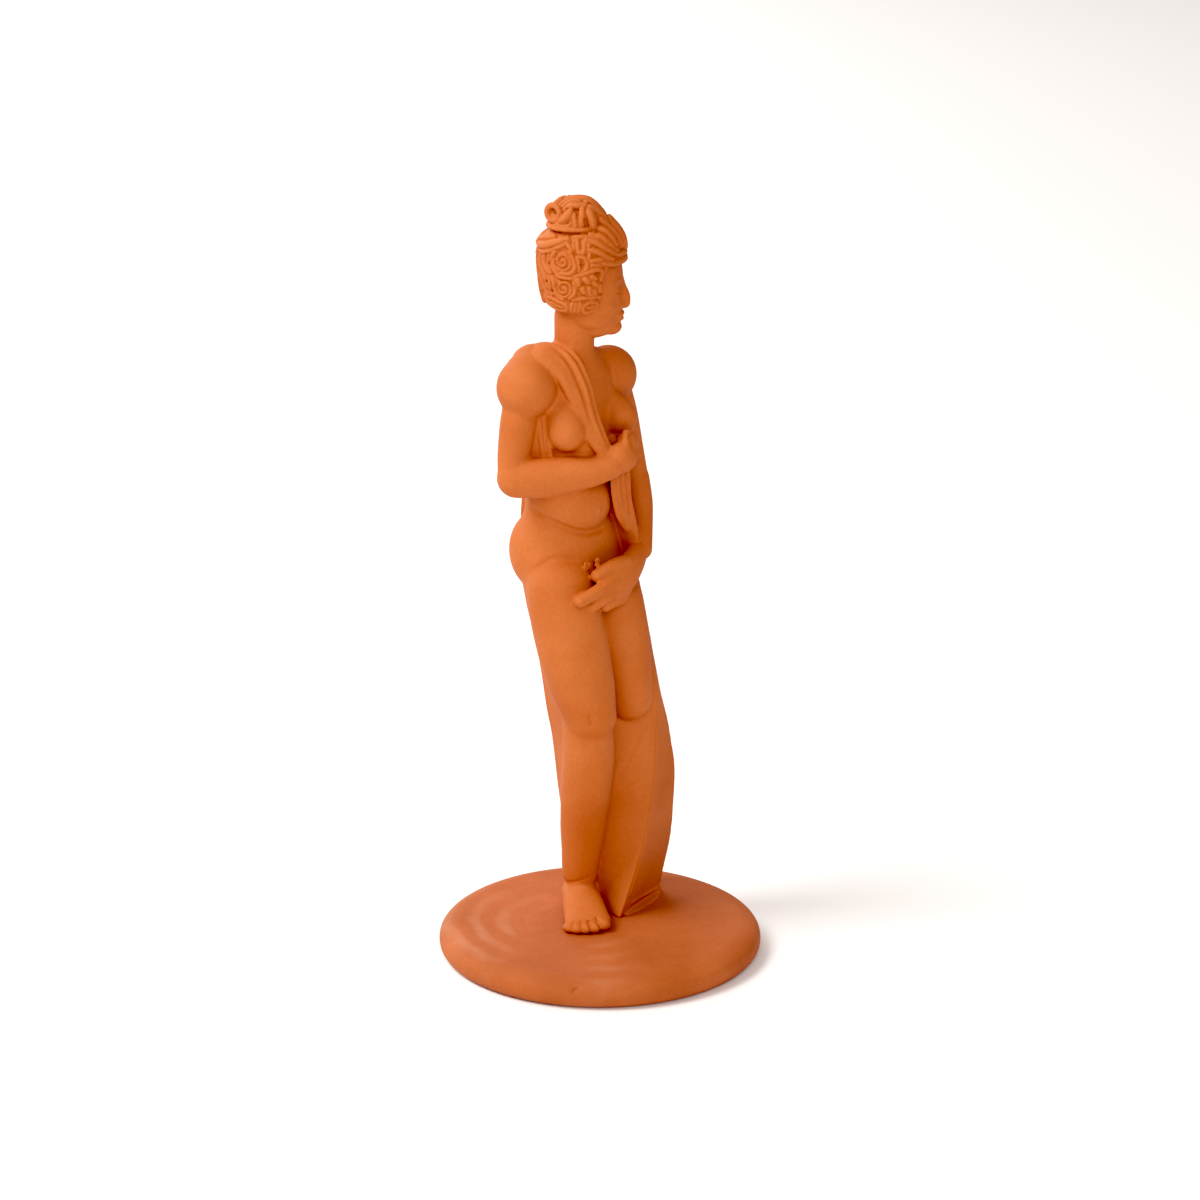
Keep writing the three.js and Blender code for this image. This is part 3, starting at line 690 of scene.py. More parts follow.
@dataclass
class Drapery:
    """The cloth: the prop and the fall down her back, the band over her chest, and its tail."""

    rows: tuple[tuple[float, tuple[Place, ...]], ...] = (
        (DISC_HEIGHT, ((4.7, -2.9), (28.2, 5.6), (26, 17), (8.5, 21), (5, 17.5), (5.6, 12), (6, 4.5))),
        (14, ((7.2, -3.3), (29, 4.8), (26.5, 17.4), (6.5, 20.5), (2, 15.5), (5, 12), (6.4, 5.4))),
        (24.5, ((11.3, -3.7), (30.6, 3.4), (27.5, 17.8), (4, 19.5), (-1.2, 13.6), (4.6, 11.6), (6.8, 6.4))),
        (36, ((14.9, -3.4), (31.3, 2.8), (28.2, 18), (1.4, 18), (-3.6, 12.2), (4.4, 9.6), (7.6, 5))),
        (47, ((17.7, -2.6), (31.5, 2.6), (28.6, 18.2), (-1.8, 16.2), (-5, 10.6), (4.2, 7.8), (8.2, 3.4))),
        (54, ((19.3, -1.7), (31.1, 3.6), (28.3, 18.5), (-2.4, 16.6), (-5.6, 9.6), (4, 8.2), (12.4, 0.8))),
        (61, ((21.2, 0), (30.5, 4.7), (27.8, 19.2), (-2.5, 17.8), (-6, 8.8), (3.6, 7.8), (17.1, 0.7))),
        (69, ((23.7, 2), (29.4, 6.5), (27, 20), (-3.4, 19), (-6.8, 8), (2.8, 6.6), (21, 2.4))),
        (78, ((25.2, 5.4), (28.5, 8), (26.4, 21), (-3.9, 20.3), (-9.4, 8.6), (3.2, 7), (21.6, 6))),
        (88, ((25.3, 8.4), (27.7, 9.8), (25.8, 22.4), (-4.7, 22), (-11, 11.2), (3.4, 9.4), (19, 9.4))),
        (100, ((24, 10.6), (26.6, 12), (25, 24), (-6.2, 24.4), (-12.4, 13.6), (3, 13), (17, 12))),
        (112, ((21.4, 13.2), (24.8, 14.4), (23.4, 25.2), (-6.2, 27.2), (-10.5, 18), (0, 17), (14, 14.4))),
        (124, ((18.4, 15.4), (22.4, 16.8), (21, 24.4), (-6.8, 25.8), (-9, 18.4), (-2, 17), (10, 16))),
        (136, ((14.4, 15.8), (18.6, 17.2), (17.4, 22.8), (-8.2, 23.6), (-9, 17.4), (-4, 16), (6, 16))),
        (150, ((9.4, 15.8), (13, 17), (12, 22.8), (-11.4, 23), (-11, 18), (-7, 16), (2, 16))),
        (163, ((2.4, 15.4), (5.2, 16.8), (4, 22.4), (-14, 22), (-12.4, 18), (-9, 16), (-3, 16))),
        (171, ((-3.6, 13.6), (-1.6, 15), (-2.6, 19.6), (-12.4, 18.2), (-11.2, 15.4), (-9, 13.6), (-6, 13.4))),
    )
    strips: tuple[int, ...] = (20, 12, 48, 14, 8, 10, 12)
    folded_side: int = 2
    folds: int = 4
    fold_depth: float = 1.1
    row_steps: int = 140
    selvage_radius: float = 1.0
    selvage_inset: Place = (0.6, 0.7)
    selvage_rows: int = 15
    selvage_corner: int = 3
    chest: tuple[Station, ...] = (
        (-10.6, 19, 172.4, 5.6, 2.6),
        (-8.8, 13.4, 174.6, 5.4, 2.4),
        (-6, 8.4, 171.2, 4.8, 2.4),
        (-3.8, 4.8, 163.6, 4, 2.3),
        (-2.5, 1.9, 155, 3.4, 2),
        (0.4, -1.4, 147.6, 2.4, 1.8),
    )
    chest_face: Vector = field(default_factory=lambda: Vector((0.0, -0.6, 0.8)))
    chest_folds: Beads = (
        (1.1, ((-5.2, 14, 175.6), (-3.6, 8, 173.3), (-2.2, 3.4, 166))),
        (1, ((-3, 13.6, 175), (-1.5, 8.6, 173.6), (-0.8, 6.2, 170.6))),
        (0.8, (
            (-5, 19.6, 173), (-3.8, 14, 176.3), (-2.4, 7.6, 174.2), (-1.2, 3.2, 166.8),
            (-0.4, 0.6, 157.6), (1.6, -2.6, 148.2),
        )),
        (0.8, (
            (-7.6, 20, 173), (-6.4, 14.2, 176.7), (-4.6, 7.4, 174), (-3.2, 2.8, 166.4),
            (-2.2, 0.2, 157.2), (0.4, -2.6, 148),
        )),
        (0.9, (
            (-10.4, 20.4, 172.4), (-9.2, 14.6, 176.2), (-7.2, 7.8, 173.2),
            (-5.4, 3.6, 165.4), (-3.8, 1, 157), (-0.6, -1.8, 149),
        )),
    )
    shoulder_cloth: tuple[Point, Point] = ((-9.4, 17.0, 171.8), (6.6, 5.6, 5.0))
    arm_cloth: Beads = (
        (2.4, ((-12.2, 12.6, 160), (-12.4, 12.2, 152), (-12, 11.6, 145))),
        (0.8, ((-13.1, 10.4, 160), (-13.2, 9.8, 153), (-12.6, 9.2, 146))),
        (0.8, ((-11.4, 9.4, 159), (-11.6, 8.6, 153), (-11.2, 7.8, 147))),
    )
    tail: tuple[Station, ...] = (
        (5.6, -1.6, 143, 3.6, 1),
        (7.2, -0.6, 136, 3.7, 1),
        (9.4, 0.8, 129, 3.1, 1),
        (12, 2, 122.6, 1.2, 0.8),
    )
    tail_folds: Beads = (
        (0.6, ((3.6, -2.8, 142.6), (5.2, -1.9, 136), (8, -0.4, 129), (11.6, 1.2, 123))),
        (0.5, ((5.8, -2.9, 142.6), (7.4, -1.8, 136), (9.6, -0.5, 129), (12, 1.2, 123.4))),
        (0.6, ((8.2, -2.6, 142), (9.6, -1.4, 136), (11.4, 0, 129), (12.8, 1.3, 123.8))),
    )
    side_cloth: tuple[Station, ...] = (
        (8.2, 5.6, 147, 1.8, 5.6),
        (9.6, 6, 136, 2.2, 7),
        (12.6, 7, 126, 2.6, 7.4),
        (16.4, 8.5, 116, 3.2, 7),
    )
    hem_inset: float = 1.95
    hem_radius: float = 0.5
    hem_rows: int = 8
    hem_end: Point = (26.4, 7.0, 80.0)
    hem_tip: float = 0.1
    luting: tuple[Station, ...] = (
        (8.4, -2.2, 7.9, 0.9, 0.4),
        (14, -0.2, 7.9, 2.3, 0.5),
        (22, 2.6, 7.9, 2.6, 0.5),
        (28, 5.8, 7.9, 1.6, 0.4),
    )
    luting_lip: Line = (
        (11.4, -0.9, 10.6), (16, 0.8, 10.3), (20.6, 2.4, 9.9), (25, 4, 9.4), (28.2, 5.2, 9),
    )
    luting_bead: float = 0.5
    crumb: tuple[Point, Point] = ((8.8, -5.0, 8.3), (0.9, 0.7, 0.5))

    def model(self, clay: Clay) -> None:
        """Adds the cloth.

        Args:
            clay: The clay that takes it.
        """
        self._fall(clay)
        clay.limb(self.side_cloth)
        clay.limb(self.chest, ahead=self.chest_face)
        clay.limb(self.tail)
        clay.limb(self.luting, ahead=UP)
        clay.bead(self.luting_lip, self.luting_bead)
        clay.egg(*self.crumb)
        clay.egg(*self.shoulder_cloth)
        for radius, line in (*self.chest_folds, *self.arm_cloth, *self.tail_folds):
            clay.bead(line, radius)
        hem = []
        for height, (ridge, outer, *_) in self.rows[1:self.hem_rows]:
            x, y = Vector(ridge) + (Vector(outer) - Vector(ridge)).normalized() * self.hem_inset
            hem.append((x, y, height, self.hem_radius, self.hem_radius))
        hem.append((*self.hem_end, self.hem_tip, self.hem_tip))
        clay.limb(tuple(hem), sides=14, rings=120)
        selvage = []
        for height, plan in self.rows[:self.selvage_rows]:
            x, y = plan[self.selvage_corner]
            selvage.append((x + self.selvage_inset[0], y - self.selvage_inset[1], height))
        clay.bead(tuple(selvage), self.selvage_radius)

    def _fall(self, clay: Clay) -> None:
        """Adds the cloth that hangs in level sections from her shoulder to the disc.

        Args:
            clay: The clay that takes it.
        """
        corners = len(self.strips)
        tracks = [
            SmoothLine([(*plan[corner], height) for height, plan in self.rows]) for corner in range(corners)
        ]
        columns = [(side, step / count) for side, count in enumerate(self.strips) for step in range(count)]
        rows = self.row_steps + 2
        form = bmesh.new()
        bmesh.ops.create_uvsphere(form, u_segments=len(columns), v_segments=rows, radius=1.0)
        levels = []
        for row in range(rows + 1):
            share = 1.0 - min(max((row - 1) / self.row_steps, 0.0), 1.0)
            levels.append([Vector(track.at(share)) for track in tracks])
        for vert in form.verts:
            row = round(math.acos(min(max(vert.co.z, -1.0), 1.0)) / math.pi * rows)
            plan = levels[row]
            if row in (0, rows):
                vert.co = sum(plan, Vector((0.0, 0.0, 0.0))) / corners
                continue
            turn = math.atan2(vert.co.y, vert.co.x) / math.tau
            side, share = columns[round(turn * len(columns)) % len(columns)]
            begin, end = plan[side], plan[(side + 1) % corners]
            inward = Vector((begin.y - end.y, end.x - begin.x, 0.0)).normalized()
            fold = (1.0 - math.cos(math.tau * share * self.folds)) / 2 if side == self.folded_side else 0.0
            vert.co = begin.lerp(end, share) + inward * fold * self.fold_depth
        clay.keep(form)


@dataclass
class Head:
    """Face, hair and bun, modelled looking along -Y and then turned to her left."""

    turn: float = 48.0
    place: Point = (1.6, 12.4, 0.0)
    face: tuple[Station, ...] = (
        (0, -2.4, 202, 7.6, 8.8),
        (0, -3, 195.6, 8, 9.1),
        (0, -3.4, 189.4, 7.6, 8.7),
        (0, -4, 184.8, 6.6, 7.9),
        (0, -4.8, 181.4, 5, 6.5),
    )
    nose: tuple[Station, ...] = (
        (0, -10.9, 195.4, 1.1, 1.2),
        (0, -11.6, 192.2, 1.1, 1.4),
        (0, -12.4, 189.4, 1.4, 1.7),
        (0, -12.5, 187.6, 1.5, 1.6),
    )
    chin: tuple[Point, Point] = ((0.0, -8.6, 181.0), (3.2, 3.2, 2.4))
    paired: Eggs = (
        ((-1.6, -11.5, 187.2), (1, 1.3, 0.9)),
        ((-3.3, -10.1, 192.2), (2, 1.4, 1.2)),
        ((-4.2, -8, 188.2), (2.4, 1.9, 2.8)),
        ((-2.6, -3.4, 184.6), (4.6, 6.6, 4)),
    )
    lid: Line = ((-5.0, -9.9, 192.0), (-4.2, -10.9, 191.4), (-3.2, -11.4, 191.2), (-1.9, -11.4, 191.8))
    lips: Beads = (
        (0.55, ((-2.2, -10.9, 184.5), (-0.9, -11.9, 184.9), (0.9, -11.9, 184.9), (2.2, -10.9, 184.5))),
        (0.65, ((-1.8, -10.9, 183.6), (0, -11.8, 183.3), (1.8, -10.9, 183.6))),
    )
    brow: Line = ((-6.0, -9.0, 194.3), (-3.6, -11.0, 195.1), (-1.0, -11.6, 194.6))
    brow_radius: float = 0.6
    face_forward: float = 1.4
    face_softening: int = 14
    lock_lift: float = 0.12
    strand_step: float = 0.3
    hair: tuple[Station, ...] = (
        (0, -2, 205.4, 9.2, 11.6),
        (0, -2.2, 200, 10.4, 12),
        (0, -1.6, 194, 10.6, 11.4),
        (0, -0.2, 188.4, 9.6, 9.2),
    )
    hairline: float = -7.6
    forehead: float = 200.0
    crown: tuple[Point, Point] = ((0.0, -6.2, 206.4), (7.2, 6.0, 5.2))
    bed_depth: float = 0.35
    bed_grain: float = 0.5
    bed_softening: int = 2
    rope_steps: int = 24
    rope_oval: float = 0.4
    rope: tuple[float, float, float] = (7.0, 0.8, 209.8)
    bun: Eggs = (
        ((0, -0.4, 211), (6.2, 6.6, 5.4)),
        ((0, -4.6, 210.6), (5.2, 4.8, 5)),
        ((-0.8, 4.2, 212.8), (2.9, 2.6, 2.6)),
    )
    loop: tuple[Point, Place, float] = ((-3.2, 5.6, 213.7), (1.75, 2.1), 0.9)
    loop_steps: int = 12
    loop_slant: float = 0.7
    bun_shell: Point = (6.6, 7.0, 6.2)
    bun_height: float = 7.4
    bun_locks: Beads = (
        (1.25, ((-5, 3.4, 211.9), (-5.8, 2.2, 213.1), (-5.4, 0.9, 214.4))),
        (0.6, ((-4.6, 4.8, 210.9), (-5.9, 3, 210.6), (-6.4, 1.2, 211), (-6.3, 0.6, 211.9))),
        (0.85, ((-5.6, 0.2, 214.2), (-6.5, -0.2, 212.4), (-6.7, -0.5, 210.8))),
        (0.95, ((-4.8, -2.2, 215.4), (-6.1, -2.2, 213.4), (-6.4, -2, 211.2))),
        (1.4, ((-4.8, -4.1, 214), (-5.3, -4.9, 212.2), (-5.4, -5.3, 210.4))),
        (1.1, ((-4, -4.2, 215.2), (-3, -6.3, 214.2), (-2.4, -7.8, 212.6), (-2.4, -8.8, 210.8))),
        (0.9, ((-4.4, 2.2, 214.8), (-4.4, 0.6, 216), (-4.6, -1.2, 215.9), (-4.2, -2.8, 215.9))),
        (0.9, ((-2.6, 3.4, 214.4), (-3, 1.6, 216.2), (-3, -0.8, 216.8), (-2.9, -3.2, 216.4))),
        (1.1, (
            (-0.9, 3.8, 214.4), (-1, 2.4, 216), (-1, -0.8, 216.8), (-1.1, -3.6, 216.5),
            (-1.2, -5.3, 215.3), (-1, -6.6, 213.9), (-0.9, -7.9, 212.2), (-0.9, -9.4, 210.2),
        )),
        (1.1, (
            (1.2, 3.8, 214.4), (1.2, 2.4, 216), (1.2, -0.8, 216.7), (1.2, -3.6, 216.4),
            (1.2, -5.3, 215.3), (1.2, -6.6, 213.9), (1.2, -7.9, 212.2), (1.2, -9.4, 210.2),
        )),
        (1.1, ((3.2, 2.4, 215.2), (3.4, 0.2, 216.2), (3.4, -2.6, 216), (3.3, -5, 214.6), (3.2, -7.4, 211.6))),
    )
    bun_sides: tuple[float, ...] = (300.0, 272.0, 244.0, 218.0, 194.0)
    side_path: tuple[Place, ...] = ((4.0, 217.0), (0.0, 214.6), (-2.0, 211.6))
    side_bead: float = 1.3
    sweeps: Beads = (
        (1.3, ((-1.3, -9.2, 211), (-1.3, -11.6, 208.4), (-1.3, -13.2, 206), (-1.3, -13.8, 204))),
        (0.95, ((-4.4, -7.4, 212), (-3.9, -9.8, 209.8), (-3.6, -11.8, 207.2), (-3.4, -12.8, 204.6))),
        (1, ((-6.2, -6.2, 210.8), (-5.9, -8.4, 209.6), (-5.6, -10.4, 207.4), (-5.4, -11.4, 205.2))),
        (1, ((-7.8, -4.6, 209.2), (-7.6, -7.4, 208.2), (-7, -9.4, 206.2), (-5.6, -11.6, 203.8))),
        (1, (
            (-8.8, -3.4, 207.6), (-8.7, -6.4, 206.6), (-7.9, -9, 204.8),
            (-5.4, -11.9, 202.8), (-2.6, -13.6, 202.6), (0, -14, 202.6),
        )),
        (0.95, ((-9.4, -4.2, 204.8), (-9.1, -7, 204), (-8.4, -9.2, 202.6), (-7.4, -10.8, 201.6))),
        (1.05, (
            (-8.8, -8.2, 200.9), (-7.2, -10.8, 200.6), (-4.6, -12.8, 200.5),
            (-2, -13.8, 200.6), (0, -14, 200.6),
        )),
    )
    right_locks: tuple[tuple[float, tuple[Place, ...]], ...] = (
        (1.15, ((172, 204.4), (158, 204.8), (142, 205.5), (130, 206.3), (118, 207.3), (108, 208))),
        (0.8, ((174, 206.8), (160, 207.2), (146, 207.9), (134, 208.6))),
        (0.8, ((168, 202.9), (152, 203.2), (138, 203.9), (126, 205), (115, 206.1))),
        (0.8, ((104, 208.5), (92, 208.7), (80, 208.7), (68, 208.9))),
        (0.8, ((113, 206.9), (107, 205.8), (103, 204.5))),
        (0.65, ((99, 207.6), (100, 206.4), (98.5, 205))),
        (0.75, ((95, 207.4), (95, 205.4), (93, 204), (89, 203.8), (85.5, 205), (85, 207.4))),
        (0.75, ((80, 207.4), (79.5, 205.6), (79, 203.6), (80, 202.2))),
        (0.8, ((106, 204), (101.5, 202.2), (98.5, 200.4), (102, 198.8), (109, 198.2), (117, 198.4))),
        (0.65, ((95, 202.8), (94, 201), (93.5, 199.2))),
        (0.7, ((90.5, 203), (86, 202.6), (83, 201.6), (82, 200.2), (85.5, 199.2), (89.5, 198.8))),
        (0.8, ((78, 202), (70, 201.8), (62, 202), (55, 201.4))),
        (0.75, (
            (129.5, 204), (134, 202), (131.5, 199.8), (125.5, 198.2),
            (119, 197.2), (109, 196.9), (100, 197.2),
        )),
        (0.8, (
            (99, 197.4), (90, 198.2), (80, 198.9), (72, 199.4), (63, 199.2), (57.5, 197.9), (61, 196.6),
        )),
        (0.75, ((77, 200.6), (67, 200.7), (57, 200.2), (51.5, 198.6), (54, 197))),
        (1, ((93.5, 196.8), (92, 195.4))),
        (1, ((84.5, 196.9), (80, 196.2))),
        (0.95, ((75, 197.5), (71, 197))),
        (0.95, ((71, 195.6), (66.5, 195.2))),
        (1, ((87, 194.4), (83, 193.4))),
        (0.95, ((77, 194.2), (74.5, 192.8))),
        (0.9, ((68.5, 193.6), (66, 192.6))),
        (0.8, ((62, 194.8), (60, 193.2))),
        (0.75, ((99, 196), (96.5, 194.4), (97.5, 192.6), (102, 191.4))),
        (0.75, ((133, 196.8), (129, 195), (128.5, 193.2), (124, 191.8), (114, 191))),
        (0.75, ((152, 202), (151, 200.6), (144, 198.9), (136, 197.8))),
        (0.65, ((142, 202.6), (141, 201))),
        (0.75, ((166, 202), (165, 199.4), (153, 197.4), (146, 195.6), (144, 193.4))),
        (0.75, ((139, 196.6), (136.5, 195), (138, 193.2), (133, 191.8))),
        (0.75, ((166, 196.6), (158, 194.6), (150, 192.4), (142, 191.4))),
        (0.75, ((176, 200.2), (177, 197.4), (172, 194.6), (166, 192.2))),
        (0.8, (
            (152, 190.9), (136, 190.7), (122, 190), (109, 189.4), (102.5, 188.3),
            (109, 187.1), (122, 187), (138, 188), (150, 189.4), (152, 190.9),
        )),
        (0.7, ((134, 189.4), (120, 188.6), (111, 188.3))),
        (0.75, ((95.5, 189.8), (95.5, 187.6))),
        (0.75, ((89.5, 189.8), (89.5, 187.4))),
        (0.75, ((83.5, 189.8), (83.5, 187.4))),
        (0.7, (
            (77, 188.8), (72, 190), (64, 190.3), (56, 189.8), (51.5, 188.8),
            (55, 187.6), (65, 187), (74, 187.4), (77, 188.8),
        )),
        (0.7, ((67, 188.6), (60, 188.8))),
        (0.65, ((98, 191), (86, 191.4), (74, 191.6), (62, 191.7), (55, 191.6))),
    )
    left_locks: tuple[tuple[float, tuple[Place, ...]], ...] = (
        (1.4, ((172, 204.6), (150, 206), (126, 207.6), (100, 208.4), (74, 208.6))),
        (1.3, ((172, 201.6), (150, 203), (126, 204.6), (100, 205.4), (80, 205.2))),
        (1.1, ((58, 198.6), (76, 200.4), (94, 198.8), (114, 201), (134, 199.2), (156, 201))),
        (1.1, ((58, 195.4), (76, 197.4), (94, 195.8), (114, 198), (134, 196.2), (158, 198.2))),
        (1.1, ((60, 192.4), (78, 194.4), (96, 192.8), (116, 194.8), (136, 193.2), (158, 195.2))),
        (1.1, ((60, 189.6), (80, 191.4), (98, 189.8), (118, 191.6), (138, 190.2), (158, 192))),
        (1.1, ((56, 187.2), (80, 188.2), (104, 187.2), (128, 188.2), (152, 188.6))),
        (1.1, ((182, 203), (176, 198.8), (184, 194.8), (178, 190.6), (182, 187.8))),
        (1, ((170, 200), (166, 196), (170, 192), (166, 188.6))),
    )
    rosettes: tuple[Place, ...] = ((116.0, 201.5), (113.0, 194.0))
    rosette_radius: float = 2.7
    rosette_bead: float = 0.7
    rosette_turns: float = 2.0
    rosette_steps: int = 28
    rosette_eye: float = 0.12
    groove_width: float = 0.26
    groove_depth: float = 0.55
    lid_depth: float = 0.4
    pits: Line = (
        (-3.6, 5.6, 213.9), (-5.2, 2, 215.4), (-3.2, -2.6, 217), (-1.8, -8.8, 213), (-6.6, -3.4, 212.6),
        (-10.2, -2.2, 200.9), (-9, -6.6, 198.4),
        (-6, 7.4, 195.2), (-7.2, 6, 192.8), (-5.8, 7.6, 202.2),
    )
    pit: Place = (0.5, 1.0)
    pit_reach: float = 0.2
    degrees_per_mm: float = 5.2
    lines: list[tuple[np.ndarray, float]] = field(default_factory=list)

    def model(self, clay: Clay, grain: float) -> None:
        """Adds the head to the clay.

        Args:
            clay: The clay that takes it.
            grain: The edge of a voxel.
        """
        face = Clay()
        face.limb(self.face, ends=(0.4, 0.6))
        face.limb(self.nose)
        face.egg(*self.chin)
        for (x, y, z), size in self.paired:
            face.egg((x, y, z), size)
            face.egg((-x, y, z), size)
        for radius, line in self.lips:
            face.bead(line, radius)
        face.bead(self.brow, self.brow_radius)
        face.bead(mirrored(self.brow), self.brow_radius)
        face.fuse(grain, self.face_softening)
        face.move(Matrix.Translation((0.0, -self.face_forward, 0.0)))
        hair = Clay()
        self._hair(hair)
        self._bun(hair)
        turned = self._turned()
        for part in (face, hair):
            part.move(turned)
            clay.take(part)

    def _turned(self) -> Matrix:
        """Gives the move from the head's own frame to the figure's."""
        return Matrix.Translation(self.place) @ Matrix.Rotation(math.radians(self.turn), 4, "Z")

    def _on_hair(self, side: Side, turn: float, height: float) -> Point:
        """Finds a point on the mass of hair.

        Args:
            side: The side of her head.
            turn: The angle from the face, in degrees.
            height: The height of the point.

        Returns:
            The point.
        """
        index = 1
        while index < len(self.hair) - 1 and height < self.hair[index][2]:
            index += 1
        upper, lower = self.hair[index - 1], self.hair[index]
        share = (upper[2] - height) / (upper[2] - lower[2])
        x, y, _, half_width, half_depth = (a + (b - a) * share for a, b in zip(upper, lower))
        angle = math.radians(turn) * side.value
        half_width, half_depth = half_width + self.lock_lift, half_depth + self.lock_lift
        return (x + math.sin(angle) * half_width, y - math.cos(angle) * half_depth, height)

    def _strand(self, hair: Clay, points: Line, radius: float) -> None:
        """Adds one strand, and remembers its line for the grooves between the strands.

        Args:
            hair: The clay that takes it.
            points: The points that its line runs through.
            radius: Its radius.
        """
        hair.bead(points, radius)
        line = SmoothLine(list(points))
        steps = max(2, round(span(points) / self.strand_step))
        turned = self._turned()
        places = [turned @ Vector(line.at(step / steps)) for step in range(steps + 1)]
        self.lines.append((np.array(places, dtype=np.float32), radius))

    def _laid(self, skin: BVHTree, points: Line) -> Line:
        """Lays points on the skin of the hair.

        Args:
            skin: The skin of the bare mass of hair.
            points: Points close to it.

        Returns:
            The points on it, lifted a little.
        """
        laid = []
        for point in points:
            place, normal, *_ = skin.find_nearest(Vector(point))
            laid.append(tuple(place + normal * self.lock_lift))
        return tuple(laid)

    def _bed(self) -> Clay:
        """Models the bare mass of hair that the strands lie on.

        Returns:
            The clay, in one skin.
        """
        bed = Clay()
        less = self.bed_depth
        mass = tuple((x, y, z, width - less, depth - less) for x, y, z, width, depth in self.hair)
        bed.limb(mass, ends=(0.5, 0.4), sides=48)
        for vert in bed.forms[-1].vertices:
            if vert.co.z < self.forehead:
                vert.co.y = max(vert.co.y, self.hairline)
        bed.egg(*self.crown)
        for at, size in self.bun:
            bed.egg(at, size)
        return bed.fuse(self.bed_grain, self.bed_softening)

    def _hair(self, hair: Clay) -> None:
        """Adds the mass of hair, its sweeps, locks and rosettes.

        Args:
            hair: The clay that takes them.
        """
        hair.take(self._bed())
        form = bmesh.new()
        form.from_mesh(hair.forms[-1])
        skin = BVHTree.FromBMesh(form)
        form.free()
        for radius, points in self.sweeps:
            for line in (points, mirrored(points)):
                self._strand(hair, self._laid(skin, line), radius)
        rosettes = tuple((self.rosette_bead, self._spiral(turn, height)) for turn, height in self.rosettes)
        for side, locks in ((Side.RIGHT, self.right_locks + rosettes), (Side.LEFT, self.left_locks)):
            for radius, places in locks:
                line = tuple(self._on_hair(side, turn, height) for turn, height in places)
                self._strand(hair, self._laid(skin, line), radius)

    def marks(self) -> list[Mark]:
        """Lays out the marks on the head: the rosettes' grooves, the eyelids and the pits.

        Returns:
            The marks, in the figure's frame.
        """
        turned = self._turned()
        lines = []
        for turn, height in self.rosettes:
            places = self._spiral(turn, height, offset=math.pi)
            line = tuple(self._on_hair(Side.RIGHT, *place) for place in places)
            lines.append((line, self.groove_width, self.groove_depth))
        for lid in (self.lid, mirrored(self.lid)):
            line = tuple((x, y - self.face_forward, z) for x, y, z in lid)
            lines.append((line, self.groove_width, self.lid_depth))
        reach = self.pit_reach
        lines += [(((x, y, z - reach), (x, y, z + reach)), *self.pit) for x, y, z in self.pits]
        return [
            Mark(tuple(tuple(turned @ Vector(point)) for point in line), width, depth)
            for line, width, depth in lines
        ]

    def _spiral(self, turn: float, height: float, offset: float = 0.0) -> tuple[Place, ...]:
        """Lays out a rosette's spiral.

        Args:
            turn: The turn of its middle from the face.
            height: The height of its middle.
            offset: The angle that the whole spiral is turned by.

        Returns:
            The spiral's places on the hair.
        """
        places = []
        for step in range(self.rosette_steps + 1):
            share = step / self.rosette_steps
            angle = share * self.rosette_turns * math.tau + offset
            reach = self.rosette_radius * (self.rosette_eye + (1.0 - self.rosette_eye) * share)
            across = math.cos(angle) * reach * self.degrees_per_mm
            places.append((turn + across, height + math.sin(angle) * reach))
        return tuple(places)

    def _on_bun(self, turn: float, height: float) -> Point:
        """Finds a point on the bun.

        Args:
            turn: The angle from the face to her right, in degrees.
            height: The height of the point, as seen on the outside of the bun.

        Returns:
            The point, on the middle line of the bun's strands.
        """
        at, _ = self.bun[0]
        rise = min(max((height - at[2]) / self.bun_height, -1.0), 1.0)
        spread = math.sqrt(1.0 - rise**2) if rise > 0 else 1.0
        angle = math.radians(turn)
        across, along, upward = self.bun_shell
        return (
            at[0] - math.sin(angle) * across * spread,
            at[1] - math.cos(angle) * along * spread,
            at[2] + rise * (upward if rise > 0 else self.bun_height),
        )

    def _bun(self, hair: Clay) -> None:
        """Adds the bun's strands, the loop at its back and the rope around its foot.

        Args:
            hair: The clay that takes them.
        """
        for radius, points in self.bun_locks:
            self._strand(hair, points, radius)
        for turn in self.bun_sides:
            line = tuple(self._on_bun(turn + lean, height) for lean, height in self.side_path)
            self._strand(hair, line, self.side_bead)
        (x, y, z), (along, upward), radius = self.loop
        ring = tuple(
            (
                x - self.loop_slant * along * math.cos(angle),
                y - along * math.cos(angle),
                z + upward * math.sin(angle),
            )
            for angle in self._turns(self.loop_steps)
        )
        self._strand(hair, ring, radius)
        reach, radius, height = self.rope
        (x, y, _), _ = self.bun[0]
        rope = tuple(
            (x + math.sin(angle) * reach, y - math.cos(angle) * (reach + self.rope_oval), height)
            for angle in self._turns(self.rope_steps)
        )
        self._strand(hair, rope, radius)

    def _turns(self, steps: int) -> list[float]:
        """Gives even angles all around, with the first one again at the end."""
        return [step / steps * math.tau for step in range(steps + 1)]


